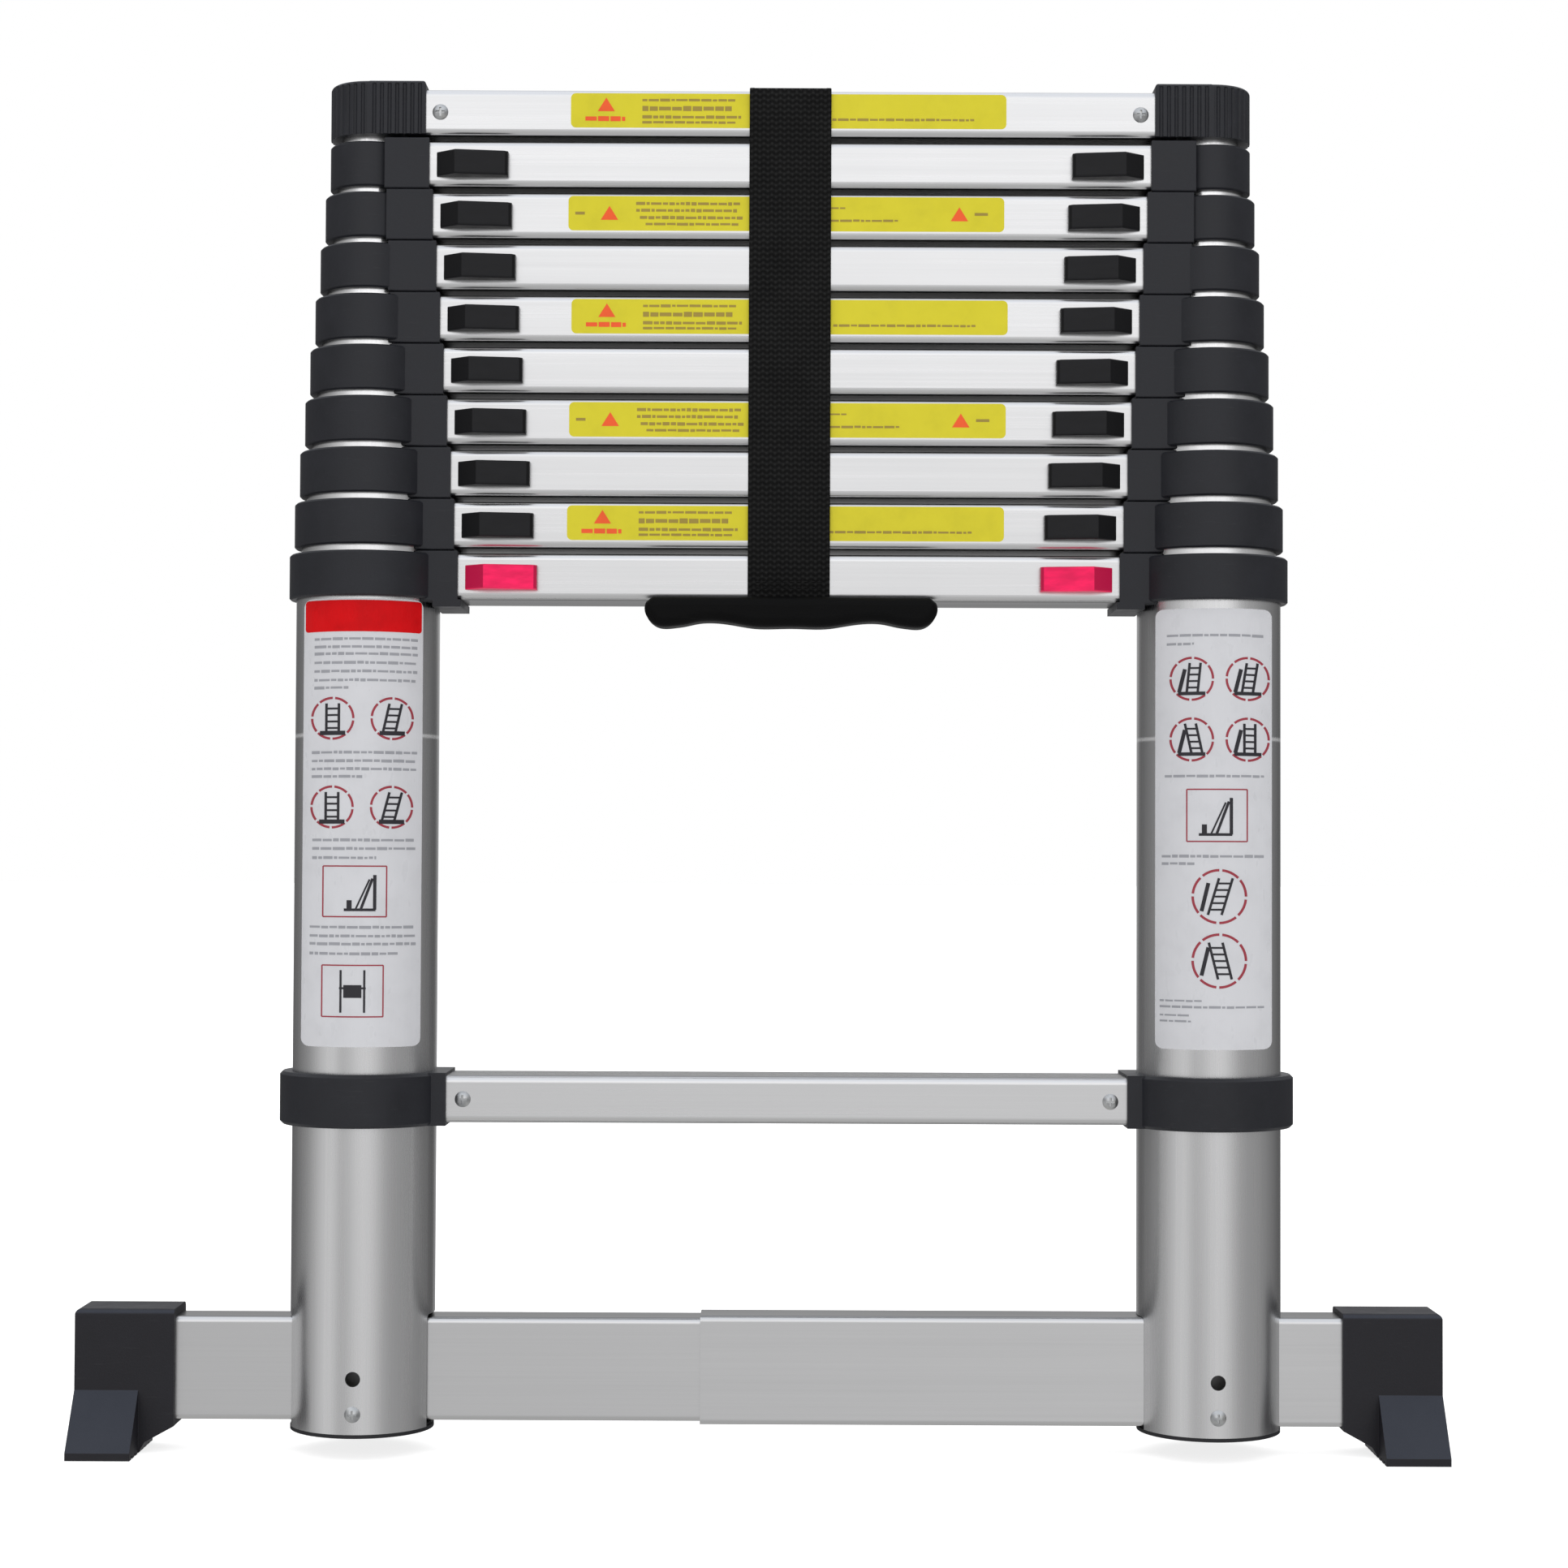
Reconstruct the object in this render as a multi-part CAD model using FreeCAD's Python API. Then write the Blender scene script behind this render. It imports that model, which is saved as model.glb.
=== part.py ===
import FreeCAD, Part
import math
import os

# Telescopic extension ladder, closed, in millimetres.
# +Z is up, +X runs along the rungs, and the front, with the thumb latches, faces -Y.
# The origin is on the floor, midway between the outer ends of the two feet.
# Section 1 is the lowest and widest. Section 10 is the highest and narrowest.
Vec = FreeCAD.Vector
X_AXIS, Y_AXIS, Z_AXIS = Vec(1, 0, 0), Vec(0, 1, 0), Vec(0, 0, 1)

# ---------------------------------------------------------------- driving dimensions
SECTIONS = 10
CLOSED_PITCH = 27.2          # rung to rung when the ladder is closed
OPEN_PITCH = 273.5           # rung to rung when the ladder is pulled out
TRAVEL = OPEN_PITCH - CLOSED_PITCH
RUNG_1_Z = 459.3             # centre height of the rung of section 1
FIXED_RUNG_Z = RUNG_1_Z - OPEN_PITCH
STILE_HALF = 223.0           # stile axis to the ladder's middle
MIDDLE_X = 14.0              # the ladder's middle, measured from the stabiliser's middle
TOUCH = 0.05                 # air between two fixed pieces that meet
CLEAR = 0.3                  # air between a piece and the hole it passes through
PAST = 5.0                   # how far a cutting shape runs past what it cuts

TUBE_R = 37.8                # outer radius of the section 1 tubes
RADIUS_STEP = 2.475          # each next tube is this much smaller in radius
TUBE_WALL = 1.4
TUBE_FOOT_Z = 14.3           # lower end of the section 1 tubes
TUBE_TOP = 9.4               # a tube ends this far above its own rung's centre
LOCK_HOLE_UP = 23.0          # locking hole above the lower end of a tube
BUSH_RIM, BUSH_LENGTH = 0.75, 12.0   # guide bush: rim beyond its tube, length inside it
BUSH_FLOOR, BUSH_WALL, BUSH_EDGE, BUSH_VENT_R = 3.0, 2.6, 0.6, 2.0
TUBE_SLOT_HALF = 60.0        # half length of the slot that lets the stabiliser bar through a tube

RUNG_DEPTH, RUNG_HEIGHT = 42.0, 24.6
RUNG_WALL, RUNG_CORNER = 1.6, 3.6
TREAD_GROOVES, GROOVE_PITCH, GROOVE_WIDTH, GROOVE_DEPTH = 9, 3.6, 1.4, 0.5

COLLAR_WALL, COLLAR_HALF_HEIGHT = 3.7, 11.85
COLLAR_LIP = 2.0             # thickness of the lip that covers a tube's top edge
COLLAR_EDGE, BLOCK_EDGE_R, THROAT_GAP = 0.9, 0.8, 0.5
BLOCK_ROOT = 0.45            # a socket starts inside its sleeve, at this share of the radius
SOCKET_GAP = 0.1             # between a rung's end and its socket, each side
RUNG_END_GAP = 0.5           # between a rung's end and the sleeve of its collar
TONGUE_ROOT, TONGUE_PAST_SCREW, CAP_TONGUE_PAST_SCREW = 5.0, 8.0, 7.0
BLOCK_HALF_DEPTH, BLOCK_HALF_HEIGHT = 23.2, 13.4
BLOCK_REACH_1, BLOCK_REACH_STEP = 49.6, 2.05   # stile axis to the inner end of a rung socket
LOWEST_LIP_DROP, LOWEST_LIP_REACH = 2.7, 1.6   # lip under the ends of the lowest sliding rung
FIXED_COLLAR_WALL, FIXED_COLLAR_HALF_HEIGHT, FIXED_REACH = 6.5, 13.8, 45.2
FIXED_COLLAR_EDGE = 1.6
CAP_BELOW, CAP_ABOVE, CAP_R = 11.6, 16.7, 21.6
CAP_FLUTE_PITCH, CAP_FLUTE_R, CAP_FLUTE_DEPTH = 4.0, 1.1, 0.8
CAP_EDGE_R, CAP_FLUTE_TOP_GAP, CAP_INSET = 2.4, 1.6, 1.0
FIXED_SCREW_X, TOP_SCREW_X = 54.0, 38.7        # stile axis to the screw in a rung's end

PIN_R, PIN_HOLE_R, PIN_GAP, PIN_CHAMFER = 4.0, 4.3, 0.4, 0.6
LATCH_TRAVEL = 8.0
BUTTON_LENGTH, BUTTON_HEIGHT, BUTTON_FROM_BLOCK = 37.6, 12.8, 4.0
BUTTON_DROP = 0.7            # the button sits this much below its pin's axis
BUTTON_RIDGE, BUTTON_TAIL, BUTTON_EDGE = 9.4, 4.4, 1.6   # how far it stands off the rung's face
BUTTON_RAMP = 0.27           # share of its length that the outer ramp takes
BUTTON_EDGE_R = 1.1
STEM_FROM, STEM_LENGTH, STEM_HALF = 9.0, 10.0, 3.0
SLOT_END_GAP = 0.4           # air at each end of the stem's slot, past the latch's travel
CARRIAGE_HALF_DEPTH, CARRIAGE_HALF_HEIGHT, CARRIAGE_END = 6.5, 7.5, 2.0

BAR_Z, BAR_HEIGHT, BAR_DEPTH, BAR_WALL = 44.0, 56.8, 26.0, 1.3
BAR_CORNER, BAR_INNER_CORNER = 3.0, 1.7
BAR_NEST_GAP = 0.15          # between the inner and the outer bar profile, each side
BAR_SEAM_X, BAR_NEST_LENGTH = -30.7, 48.0
FOOT_END_X = 357.5           # outer end of each foot
FOOT_CAP_LENGTH, FOOT_WALL, FOOT_TOP_WALL, FOOT_END_WALL = 52.0, 2.6, 2.8, 4.0
FOOT_UNDER_WALL, FOOT_GUSSET_DROP, FOOT_GUSSET_RUN = 1.4, 8.2, 3.5
FOOT_CORNER = 3.0
SOLE_LENGTH, SOLE_BAND = 33.5, 4.0
SOLE_FRONT, SOLE_BACK = 36.0, 22.0     # the sole's reach in front of and behind the bar's axis
SOLE_FLARE_TOP_Z = 33.0
SOLE_GROOVES, SOLE_GROOVE_PITCH, SOLE_GROOVE_HALF, SOLE_GROOVE_DEPTH = 7, 7.6, 1.3, 1.8

HOLE_R, HOLE_Z = 3.9, 42.8   # bolt hole in the front of each section 1 tube
RIVET_Z, RIVET_HEAD_R, RIVET_SHANK_R = 24.7, 4.2, 2.4
HEAD_CROWN = 2.0             # height of a screw's or rivet's round head
RUNG_SCREW_LENGTH, BASE_RIVET_LENGTH = 9.0, 12.0
RECESS_HALF, RECESS_WIDTH, RECESS_DEPTH = 2.3, 1.1, 1.6

STRAP_WIDTH, STRAP_THICK, STRAP_GAP = 43.0, 1.6, 0.6
STRAP_FOLD_R = 4.2
STRAP_LIE, TAIL_GAP = 0.5, 0.4         # strap above and under the rungs, tail behind the band
STRAP_IN_HANDLE, STRAP_BACK_UP = 3.0, 1.0   # where the band ends, in front and behind
TAIL_LENGTH, TAIL_FOLD_R = 46.0, 1.4
PLUG_RIM, PLUG_RIM_INSET, PLUG_ABOVE_RIVET, PLUG_BORE_R = 2.0, 0.2, 6.0, 6.0
HANDLE_LENGTH, HANDLE_TOP, HANDLE_LOW, HANDLE_SWELL = 152.0, 447.8, 434.3, 2.2
HANDLE_DEPTH, HANDLE_EDGE_R, HANDLE_CROWN_INSET = 19.0, 5.0, 3.4
HANDLE_SHIFT, HANDLE_GAP = 1.3, 0.1    # right of the ladder's middle, and in front of the strap

parts = {}


# ---------------------------------------------------------------- helpers
def tube_radius(k):
    return TUBE_R - RADIUS_STEP * (k - 1)


def rung_z(k):
    return RUNG_1_Z + CLOSED_PITCH * (k - 1)


def block_reach(k):
    return BLOCK_REACH_1 - BLOCK_REACH_STEP * (k - 1)


def collar_radius(k):
    return tube_radius(k) + COLLAR_WALL


def rung_start(k):
    """Distance from the stile axis to the end of the rung of section k."""
    return collar_radius(k) + RUNG_END_GAP


def box(x0, x1, y0, y1, z0, z1):
    return Part.makeBox(x1 - x0, y1 - y0, z1 - z0, Vec(x0, y0, z0))


def cylinder(radius, z0, z1, x=0.0, y=0.0):
    return Part.makeCylinder(radius, z1 - z0, Vec(x, y, z0), Z_AXIS)


def rod_x(radius, x0, x1, y, z):
    return Part.makeCylinder(radius, x1 - x0, Vec(x0, y, z), X_AXIS)


def rod_y(radius, y0, y1, x, z):
    return Part.makeCylinder(radius, y1 - y0, Vec(x, y0, z), Y_AXIS)


def ring(outer, inner, z0, z1):
    return cylinder(outer, z0, z1).cut(cylinder(inner, z0 - 1, z1 + 1))


def rounded_face(depth, height, corner, z=0.0):
    """A rectangle with round corners in the YZ plane, centred on (y 0, z)."""
    a, b, c = depth / 2, height / 2, corner
    d = c * (1 - math.sqrt(0.5))
    corners = [(1, 1), (-1, 1), (-1, -1), (1, -1)]
    edges, last = [], None
    for i, (sy, sz) in enumerate(corners):
        side = Vec(0, sy * a, z + sz * (b - c))
        mid = Vec(0, sy * (a - d), z + sz * (b - d))
        flat = Vec(0, sy * (a - c), z + sz * b)
        start, end = (side, flat) if i % 2 == 0 else (flat, side)
        if last is not None:
            edges.append(Part.LineSegment(last, start).toShape())
        else:
            first = start
        edges.append(Part.Arc(start, mid, end).toShape())
        last = end
    edges.append(Part.LineSegment(last, first).toShape())
    return Part.Face(Part.Wire(edges))


def polygon_prism(points, direction):
    closed = Part.makePolygon(points + [points[0]])
    return Part.Face(closed).extrude(direction)


def turned(outline):
    """A solid turned about Z from (radius, z) points."""
    points = [Vec(r, 0, z) for r, z in outline]
    return Part.Face(Part.makePolygon(points + [points[0]])).revolve(Vec(0, 0, 0), Z_AXIS, 360)


def to_stile(shape, side):
    """Moves a shape made at a left stile, with its rung towards +X, to the stile of that side."""
    placed = shape.copy()
    if side > 0:
        placed = placed.mirror(Vec(0, 0, 0), X_AXIS)
    placed.translate(Vec(MIDDLE_X + side * STILE_HALF, 0, 0))
    return placed


def both(shape):
    return [to_stile(shape, -1), to_stile(shape, 1)]


def save(name, solids):
    shape = Part.makeCompound([s for item in solids for s in item.Solids])
    for solid in shape.Solids:
        if not solid.isValid() or solid.Volume <= 0:
            print("BAD SOLID", name, solid.Volume)
    parts[name] = shape
    shape.exportStep("parts/" + name + ".step")


# ---------------------------------------------------------------- stile tubes and guide bushes
def stile_tube(k):
    outer = tube_radius(k)
    low = TUBE_FOOT_Z if k == 1 else rung_z(k - 1) - TRAVEL - LOCK_HOLE_UP
    tube = ring(outer, outer - TUBE_WALL, low, rung_z(k) + TUBE_TOP)
    if k < SECTIONS:
        tube = tube.cut(rod_x(PIN_HOLE_R, 0, outer + PAST, 0, rung_z(k)))
    if k > 1:
        tube = tube.cut(rod_x(PIN_HOLE_R, 0, outer + PAST, 0, low + LOCK_HOLE_UP))
    else:
        tube = tube.cut(rod_y(HOLE_R, -outer - PAST, 0, 0, HOLE_Z))
        tube = tube.cut(rod_y(RIVET_SHANK_R + TOUCH, -outer - PAST, 0, 0, RIVET_Z))
        slot, half = BAR_DEPTH / 2 + CLEAR, TUBE_SLOT_HALF
        tube = tube.cut(bar_profile(-half, half, CLEAR, solid=True))
        tube = tube.cut(box(-half, half, -slot, slot, 0, BAR_Z))
    return tube


def guide_bush(k):
    """Plug in the lower end of a moving tube. Its rim runs in the bore of the tube outside it."""
    low = rung_z(k - 1) - TRAVEL - LOCK_HOLE_UP
    bore = tube_radius(k) - TUBE_WALL
    rim = tube_radius(k) + BUSH_RIM
    top, floor, inside = low + BUSH_LENGTH, low - BUSH_FLOOR, bore - BUSH_WALL
    outline = [(BUSH_VENT_R, floor), (rim - BUSH_EDGE, floor), (rim, floor + BUSH_EDGE),
               (rim, low - TOUCH), (bore - TOUCH, low - TOUCH), (bore - TOUCH, top - 1.0),
               (bore - 1.0, top), (inside, top), (inside, low + 1.0), (BUSH_VENT_R, low + 1.0)]
    return turned(outline)


# ---------------------------------------------------------------- collars with rung sockets
def collar(k):
    outer, bore = collar_radius(k), tube_radius(k) + TOUCH
    throat = tube_radius(k + 1) + THROAT_GAP
    z, half, edge = rung_z(k), COLLAR_HALF_HEIGHT, COLLAR_EDGE
    sleeve = turned([(bore, z - half), (outer - edge, z - half), (outer, z - half + edge),
                     (outer, z + half - edge), (outer - edge, z + half), (throat, z + half),
                     (throat, z + half - COLLAR_LIP), (bore, z + half - COLLAR_LIP)])
    reach = block_reach(k)
    block = box(outer * BLOCK_ROOT, reach, -BLOCK_HALF_DEPTH, BLOCK_HALF_DEPTH,
                z - BLOCK_HALF_HEIGHT, z + BLOCK_HALF_HEIGHT)
    corners = [e for e in block.Edges
               if abs(e.BoundBox.XMin - reach) < 1e-6 and e.BoundBox.ZLength < 1e-6
               or abs(abs(e.BoundBox.YMin) - BLOCK_HALF_DEPTH) < 1e-6 and e.BoundBox.XLength > 1]
    block = block.makeFillet(BLOCK_EDGE_R, corners)
    if k == 1:
        under = z - RUNG_HEIGHT / 2 - TOUCH
        block = block.fuse(box(outer - PAST, reach + LOWEST_LIP_REACH, -BLOCK_HALF_DEPTH,
                               BLOCK_HALF_DEPTH, z - BLOCK_HALF_HEIGHT - LOWEST_LIP_DROP, under))
    body = sleeve.fuse(block)
    body = body.cut(cylinder(bore, z - half - PAST, z + half - COLLAR_LIP))
    body = body.cut(cylinder(throat, z, z + half + PAST))
    body = body.cut(rung_socket(k))
    body = body.cut(rod_x(PIN_HOLE_R, 0, reach + PAST, 0, z))
    return body.removeSplitter()


def rung_socket(k):
    """The space that the end of the rung of section k is pushed into."""
    start = rung_start(k) - SOCKET_GAP
    mouth = rounded_face(RUNG_DEPTH + 2 * SOCKET_GAP, RUNG_HEIGHT + 2 * SOCKET_GAP, RUNG_CORNER,
                         rung_z(k))
    mouth.translate(Vec(start, 0, 0))
    return mouth.extrude(Vec(block_reach(k) + PAST - start, 0, 0))


def tongue(start, end, z):
    """The tongue that a rung is pushed over and screwed to."""
    thinner = 2 * (RUNG_WALL + SOCKET_GAP)
    face = rounded_face(RUNG_DEPTH - thinner, RUNG_HEIGHT - thinner, RUNG_CORNER - RUNG_WALL, z)
    face.translate(Vec(start, 0, 0))
    return face.extrude(Vec(end - start, 0, 0))


def screw_socket(x, z):
    return rod_y(RIVET_SHANK_R + TOUCH, -RUNG_DEPTH, 0, x, z)


def fixed_rung_collar():
    outer, bore, z = TUBE_R + FIXED_COLLAR_WALL, TUBE_R + TOUCH, FIXED_RUNG_Z
    half, edge, reach = FIXED_COLLAR_HALF_HEIGHT, FIXED_COLLAR_EDGE, FIXED_REACH
    sleeve = turned([(bore, z - half), (outer - edge, z - half), (outer, z - half + edge),
                     (outer, z + half - edge), (outer - edge, z + half), (bore, z + half)])
    block = box(outer * BLOCK_ROOT, reach, -BLOCK_HALF_DEPTH, BLOCK_HALF_DEPTH, z - half, z + half)
    body = sleeve.fuse(block)
    body = body.fuse(tongue(reach - TONGUE_ROOT, FIXED_SCREW_X + TONGUE_PAST_SCREW, z))
    body = body.cut(cylinder(bore, z - half - PAST, z + half + PAST))
    body = body.cut(screw_socket(FIXED_SCREW_X, z))
    return body.removeSplitter()


def top_cap():
    """Ribbed cap that closes the top tube and holds the top rung."""
    z = rung_z(SECTIONS)
    z0, z1 = z - CAP_BELOW, z + CAP_ABOVE
    reach, half_depth = block_reach(SECTIONS), BLOCK_HALF_DEPTH - CAP_INSET
    plan = cylinder(CAP_R, z0, z1).fuse(box(0, reach, -half_depth, half_depth, z0, z1))
    plan = plan.removeSplitter()
    top_edges = [e for e in plan.Edges
                 if abs(e.BoundBox.ZMin - z1) < 1e-6 and abs(e.BoundBox.ZMax - z1) < 1e-6]
    body = plan.makeFillet(CAP_EDGE_R, top_edges)
    flutes, flute_low, flute_top = [], z0 - 1, z1 - CAP_FLUTE_TOP_GAP
    turns = int(math.pi * CAP_R / CAP_FLUTE_PITCH)
    for i in range(turns):
        angle = math.pi / 2 + math.pi * (i + 0.5) / turns
        radius = CAP_R + CAP_FLUTE_R - CAP_FLUTE_DEPTH
        flutes.append(cylinder(CAP_FLUTE_R, flute_low, flute_top,
                               radius * math.cos(angle), radius * math.sin(angle)))
    for i in range(1, int((reach - 2) / CAP_FLUTE_PITCH) + 1):
        for side in (-1, 1):
            y = side * (half_depth + CAP_FLUTE_R - CAP_FLUTE_DEPTH)
            flutes.append(cylinder(CAP_FLUTE_R, flute_low, flute_top, i * CAP_FLUTE_PITCH, y))
    body = body.cut(Part.makeCompound(flutes))
    body = body.cut(cylinder(tube_radius(SECTIONS) + TOUCH, z0 - 1, z + TUBE_TOP + TOUCH))
    body = body.cut(rung_socket(SECTIONS))
    body = body.fuse(tongue(rung_start(SECTIONS) - 1, TOP_SCREW_X + CAP_TONGUE_PAST_SCREW, z))
    body = body.cut(screw_socket(TOP_SCREW_X, z))
    return body.removeSplitter()


# ---------------------------------------------------------------- rungs
def rung(z, start):
    """A hollow rung with a grooved tread, from one stile to the other."""
    x0, x1 = MIDDLE_X - STILE_HALF + start, MIDDLE_X + STILE_HALF - start
    outer = rounded_face(RUNG_DEPTH, RUNG_HEIGHT, RUNG_CORNER, z)
    inner = rounded_face(RUNG_DEPTH - 2 * RUNG_WALL, RUNG_HEIGHT - 2 * RUNG_WALL,
                         RUNG_CORNER - RUNG_WALL, z)
    bar = outer.cut(inner)
    bar.translate(Vec(x0, 0, 0))
    body = bar.extrude(Vec(x1 - x0, 0, 0))
    grooves = []
    for i in range(TREAD_GROOVES):
        y = (i - (TREAD_GROOVES - 1) / 2) * GROOVE_PITCH
        top = z + RUNG_HEIGHT / 2
        grooves.append(box(x0 - 1, x1 + 1, y - GROOVE_WIDTH / 2, y + GROOVE_WIDTH / 2,
                           top - GROOVE_DEPTH, top + 1))
    return body.cut(Part.makeCompound(grooves))


def latched_rung(k):
    body = rung(rung_z(k), rung_start(k))
    for side in (-1, 1):
        start = block_reach(k) + BUTTON_FROM_BLOCK + STEM_FROM - SLOT_END_GAP
        end = start + STEM_LENGTH + LATCH_TRAVEL + 2 * SLOT_END_GAP
        half = STEM_HALF + CLEAR
        slot = box(start, end, -RUNG_DEPTH, -RUNG_DEPTH / 4, rung_z(k) - half, rung_z(k) + half)
        body = body.cut(to_stile(slot, side))
    return body


def screwed_rung(z, start, screw_x):
    body = rung(z, start)
    for side in (-1, 1):
        body = body.cut(to_stile(screw_socket(screw_x, z), side))
    return body


# ---------------------------------------------------------------- thumb latches
def latch(k):
    """Thumb slide with its carriage, and its locking pin, at a left stile."""
    z, face = rung_z(k), -RUNG_DEPTH / 2 - CLEAR
    x0 = block_reach(k) + BUTTON_FROM_BLOCK
    ramp, tail = BUTTON_RAMP * BUTTON_LENGTH, BUTTON_LENGTH
    outline = [(0, 0), (0, BUTTON_EDGE), (ramp - 1.3, BUTTON_RIDGE - 1.0), (ramp, BUTTON_RIDGE),
               (ramp + 1.8, BUTTON_RIDGE - 0.2), (tail - 1.5, BUTTON_TAIL + 1.4),
               (tail, BUTTON_TAIL), (tail, 0)]
    button_low = z - BUTTON_DROP - BUTTON_HEIGHT / 2
    button = polygon_prism([Vec(x0 + px, face - py, button_low) for px, py in outline],
                           Vec(0, 0, BUTTON_HEIGHT))
    long_edges = [e for e in button.Edges if e.BoundBox.ZLength < 1e-6
                  and e.BoundBox.YMax < face - 2.5 and e.BoundBox.XLength > 0.5]
    button = button.makeFillet(BUTTON_EDGE_R, long_edges)
    stem0 = x0 + STEM_FROM
    stem = box(stem0, stem0 + STEM_LENGTH, face - 1, -CARRIAGE_HALF_DEPTH + 1,
               z - STEM_HALF, z + STEM_HALF)
    carriage_end = stem0 - CARRIAGE_END
    carriage = box(carriage_end, stem0 + STEM_LENGTH + CARRIAGE_END, -CARRIAGE_HALF_DEPTH,
                   CARRIAGE_HALF_DEPTH, z - CARRIAGE_HALF_HEIGHT, z + CARRIAGE_HALF_HEIGHT)
    slide = button.fuse(stem).fuse(carriage).removeSplitter()
    tip = tube_radius(k + 1) + PIN_GAP
    pin = rod_x(PIN_R, tip, carriage_end - TOUCH, 0, z)
    tip_edges = [e for e in pin.Edges if abs(e.BoundBox.XMax - tip) < 1e-6]
    pin = pin.makeChamfer(PIN_CHAMFER, tip_edges)
    return [slide, pin]


# ---------------------------------------------------------------- stabiliser bar and feet
def bar_profile(x0, x1, grow=0.0, solid=False, nested=False):
    """The stabiliser's hollow rectangular profile. The nested one fits inside the other."""
    depth, height = BAR_DEPTH, BAR_HEIGHT
    if nested:
        inset = 2 * (BAR_WALL + BAR_NEST_GAP)
        depth, height = depth - inset, height - inset
    outer = rounded_face(depth + 2 * grow, height + 2 * grow, BAR_CORNER, BAR_Z)
    if not solid:
        outer = outer.cut(rounded_face(depth - 2 * BAR_WALL, height - 2 * BAR_WALL,
                                       BAR_INNER_CORNER, BAR_Z))
    outer.translate(Vec(x0, 0, 0))
    return outer.extrude(Vec(x1 - x0, 0, 0))


def foot_body():
    """Rubber foot of the left end: a cap for the bar, a gusset, and a sole flared to the front."""
    x0, x1 = -FOOT_END_X, -FOOT_END_X + FOOT_CAP_LENGTH
    half = BAR_DEPTH / 2 + FOOT_WALL
    top = BAR_Z + BAR_HEIGHT / 2 + FOOT_TOP_WALL
    under = BAR_Z - BAR_HEIGHT / 2 - FOOT_UNDER_WALL
    heel = x0 + SOLE_LENGTH
    side = [(x0, 0), (x0, top), (x1, top), (x1, under),
            (heel + FOOT_GUSSET_RUN, under - FOOT_GUSSET_DROP), (heel, 0)]
    body = polygon_prism([Vec(x, -half, z) for x, z in side], Vec(0, 2 * half, 0))
    top_edges = [e for e in body.Edges if e.BoundBox.ZMin > top - 1e-6 and e.BoundBox.XMax < x1 - 1]
    top_edges += [e for e in body.Edges if e.BoundBox.ZMin > top - 1e-6 and e.BoundBox.XLength > 1]
    body = body.makeFillet(FOOT_CORNER, top_edges)
    flare = polygon_prism([Vec(x0, -SOLE_FRONT, 0), Vec(x0, -SOLE_FRONT, SOLE_BAND),
                           Vec(x0, -half, SOLE_FLARE_TOP_Z), Vec(x0, half, SOLE_FLARE_TOP_Z),
                           Vec(x0, SOLE_BACK, SOLE_BAND), Vec(x0, SOLE_BACK, 0)],
                          Vec(SOLE_LENGTH, 0, 0))
    body = body.fuse(flare)
    grooves = []
    for i in range(SOLE_GROOVES):
        y = (SOLE_BACK - SOLE_FRONT) / 2 + (i - (SOLE_GROOVES - 1) / 2) * SOLE_GROOVE_PITCH
        grooves.append(box(x0 - 1, x1, y - SOLE_GROOVE_HALF, y + SOLE_GROOVE_HALF,
                           -1, SOLE_GROOVE_DEPTH))
    return body.cut(Part.makeCompound(grooves)).removeSplitter()


def left_foot():
    pocket = bar_profile(-FOOT_END_X + FOOT_END_WALL, -FOOT_END_X + FOOT_CAP_LENGTH + PAST, TOUCH,
                         solid=True, nested=True)
    return foot_body().cut(pocket)


def right_foot():
    pocket = bar_profile(FOOT_END_X - FOOT_CAP_LENGTH - PAST, FOOT_END_X - FOOT_END_WALL, TOUCH,
                         solid=True)
    return foot_body().mirror(Vec(0, 0, 0), X_AXIS).cut(pocket)


def base_plug():
    """Plug in the foot of a section 1 tube, cut out around the stabiliser bar."""
    bore = TUBE_R - TUBE_WALL - TOUCH
    top = RIVET_Z + PLUG_ABOVE_RIVET
    body = cylinder(TUBE_R - PLUG_RIM_INSET, TUBE_FOOT_Z - PLUG_RIM, TUBE_FOOT_Z - TOUCH)
    body = body.fuse(cylinder(bore, TUBE_FOOT_Z - 1.0, top))
    body = body.cut(bar_profile(-TUBE_SLOT_HALF, TUBE_SLOT_HALF, CLEAR, solid=True))
    body = body.cut(cylinder(PLUG_BORE_R, 0, top + PAST))
    return body.cut(rod_y(RIVET_SHANK_R + TOUCH, -TUBE_R - PAST, 0, 0, RIVET_Z))


# ---------------------------------------------------------------- fasteners
def round_head(x, z, surface_y, shank_length):
    """A round-headed screw or rivet that points along +Y, with a cross recess."""
    sphere_r = (RIVET_HEAD_R ** 2 + HEAD_CROWN ** 2) / (2 * HEAD_CROWN)
    tip_y = surface_y - HEAD_CROWN
    dome = Part.makeSphere(sphere_r, Vec(x, tip_y + sphere_r, z))
    head = dome.common(rod_y(RIVET_HEAD_R, tip_y - 1, surface_y - TOUCH, x, z))
    shank = rod_y(RIVET_SHANK_R, surface_y - 0.5, surface_y + shank_length, x, z)
    floor_y, half, wide = tip_y + RECESS_DEPTH, RECESS_HALF, RECESS_WIDTH / 2
    recess = box(x - half, x + half, tip_y - 1, floor_y, z - wide, z + wide)
    recess = recess.fuse(box(x - wide, x + wide, tip_y - 1, floor_y, z - half, z + half))
    return head.fuse(shank).cut(recess)


# ---------------------------------------------------------------- carrying strap
def along_x(shape, keep):
    """Edges of a shape that run along X and for which keep(bounding box) holds."""
    return [e for e in shape.Edges if e.BoundBox.XLength > 1 and keep(e.BoundBox)]


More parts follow.
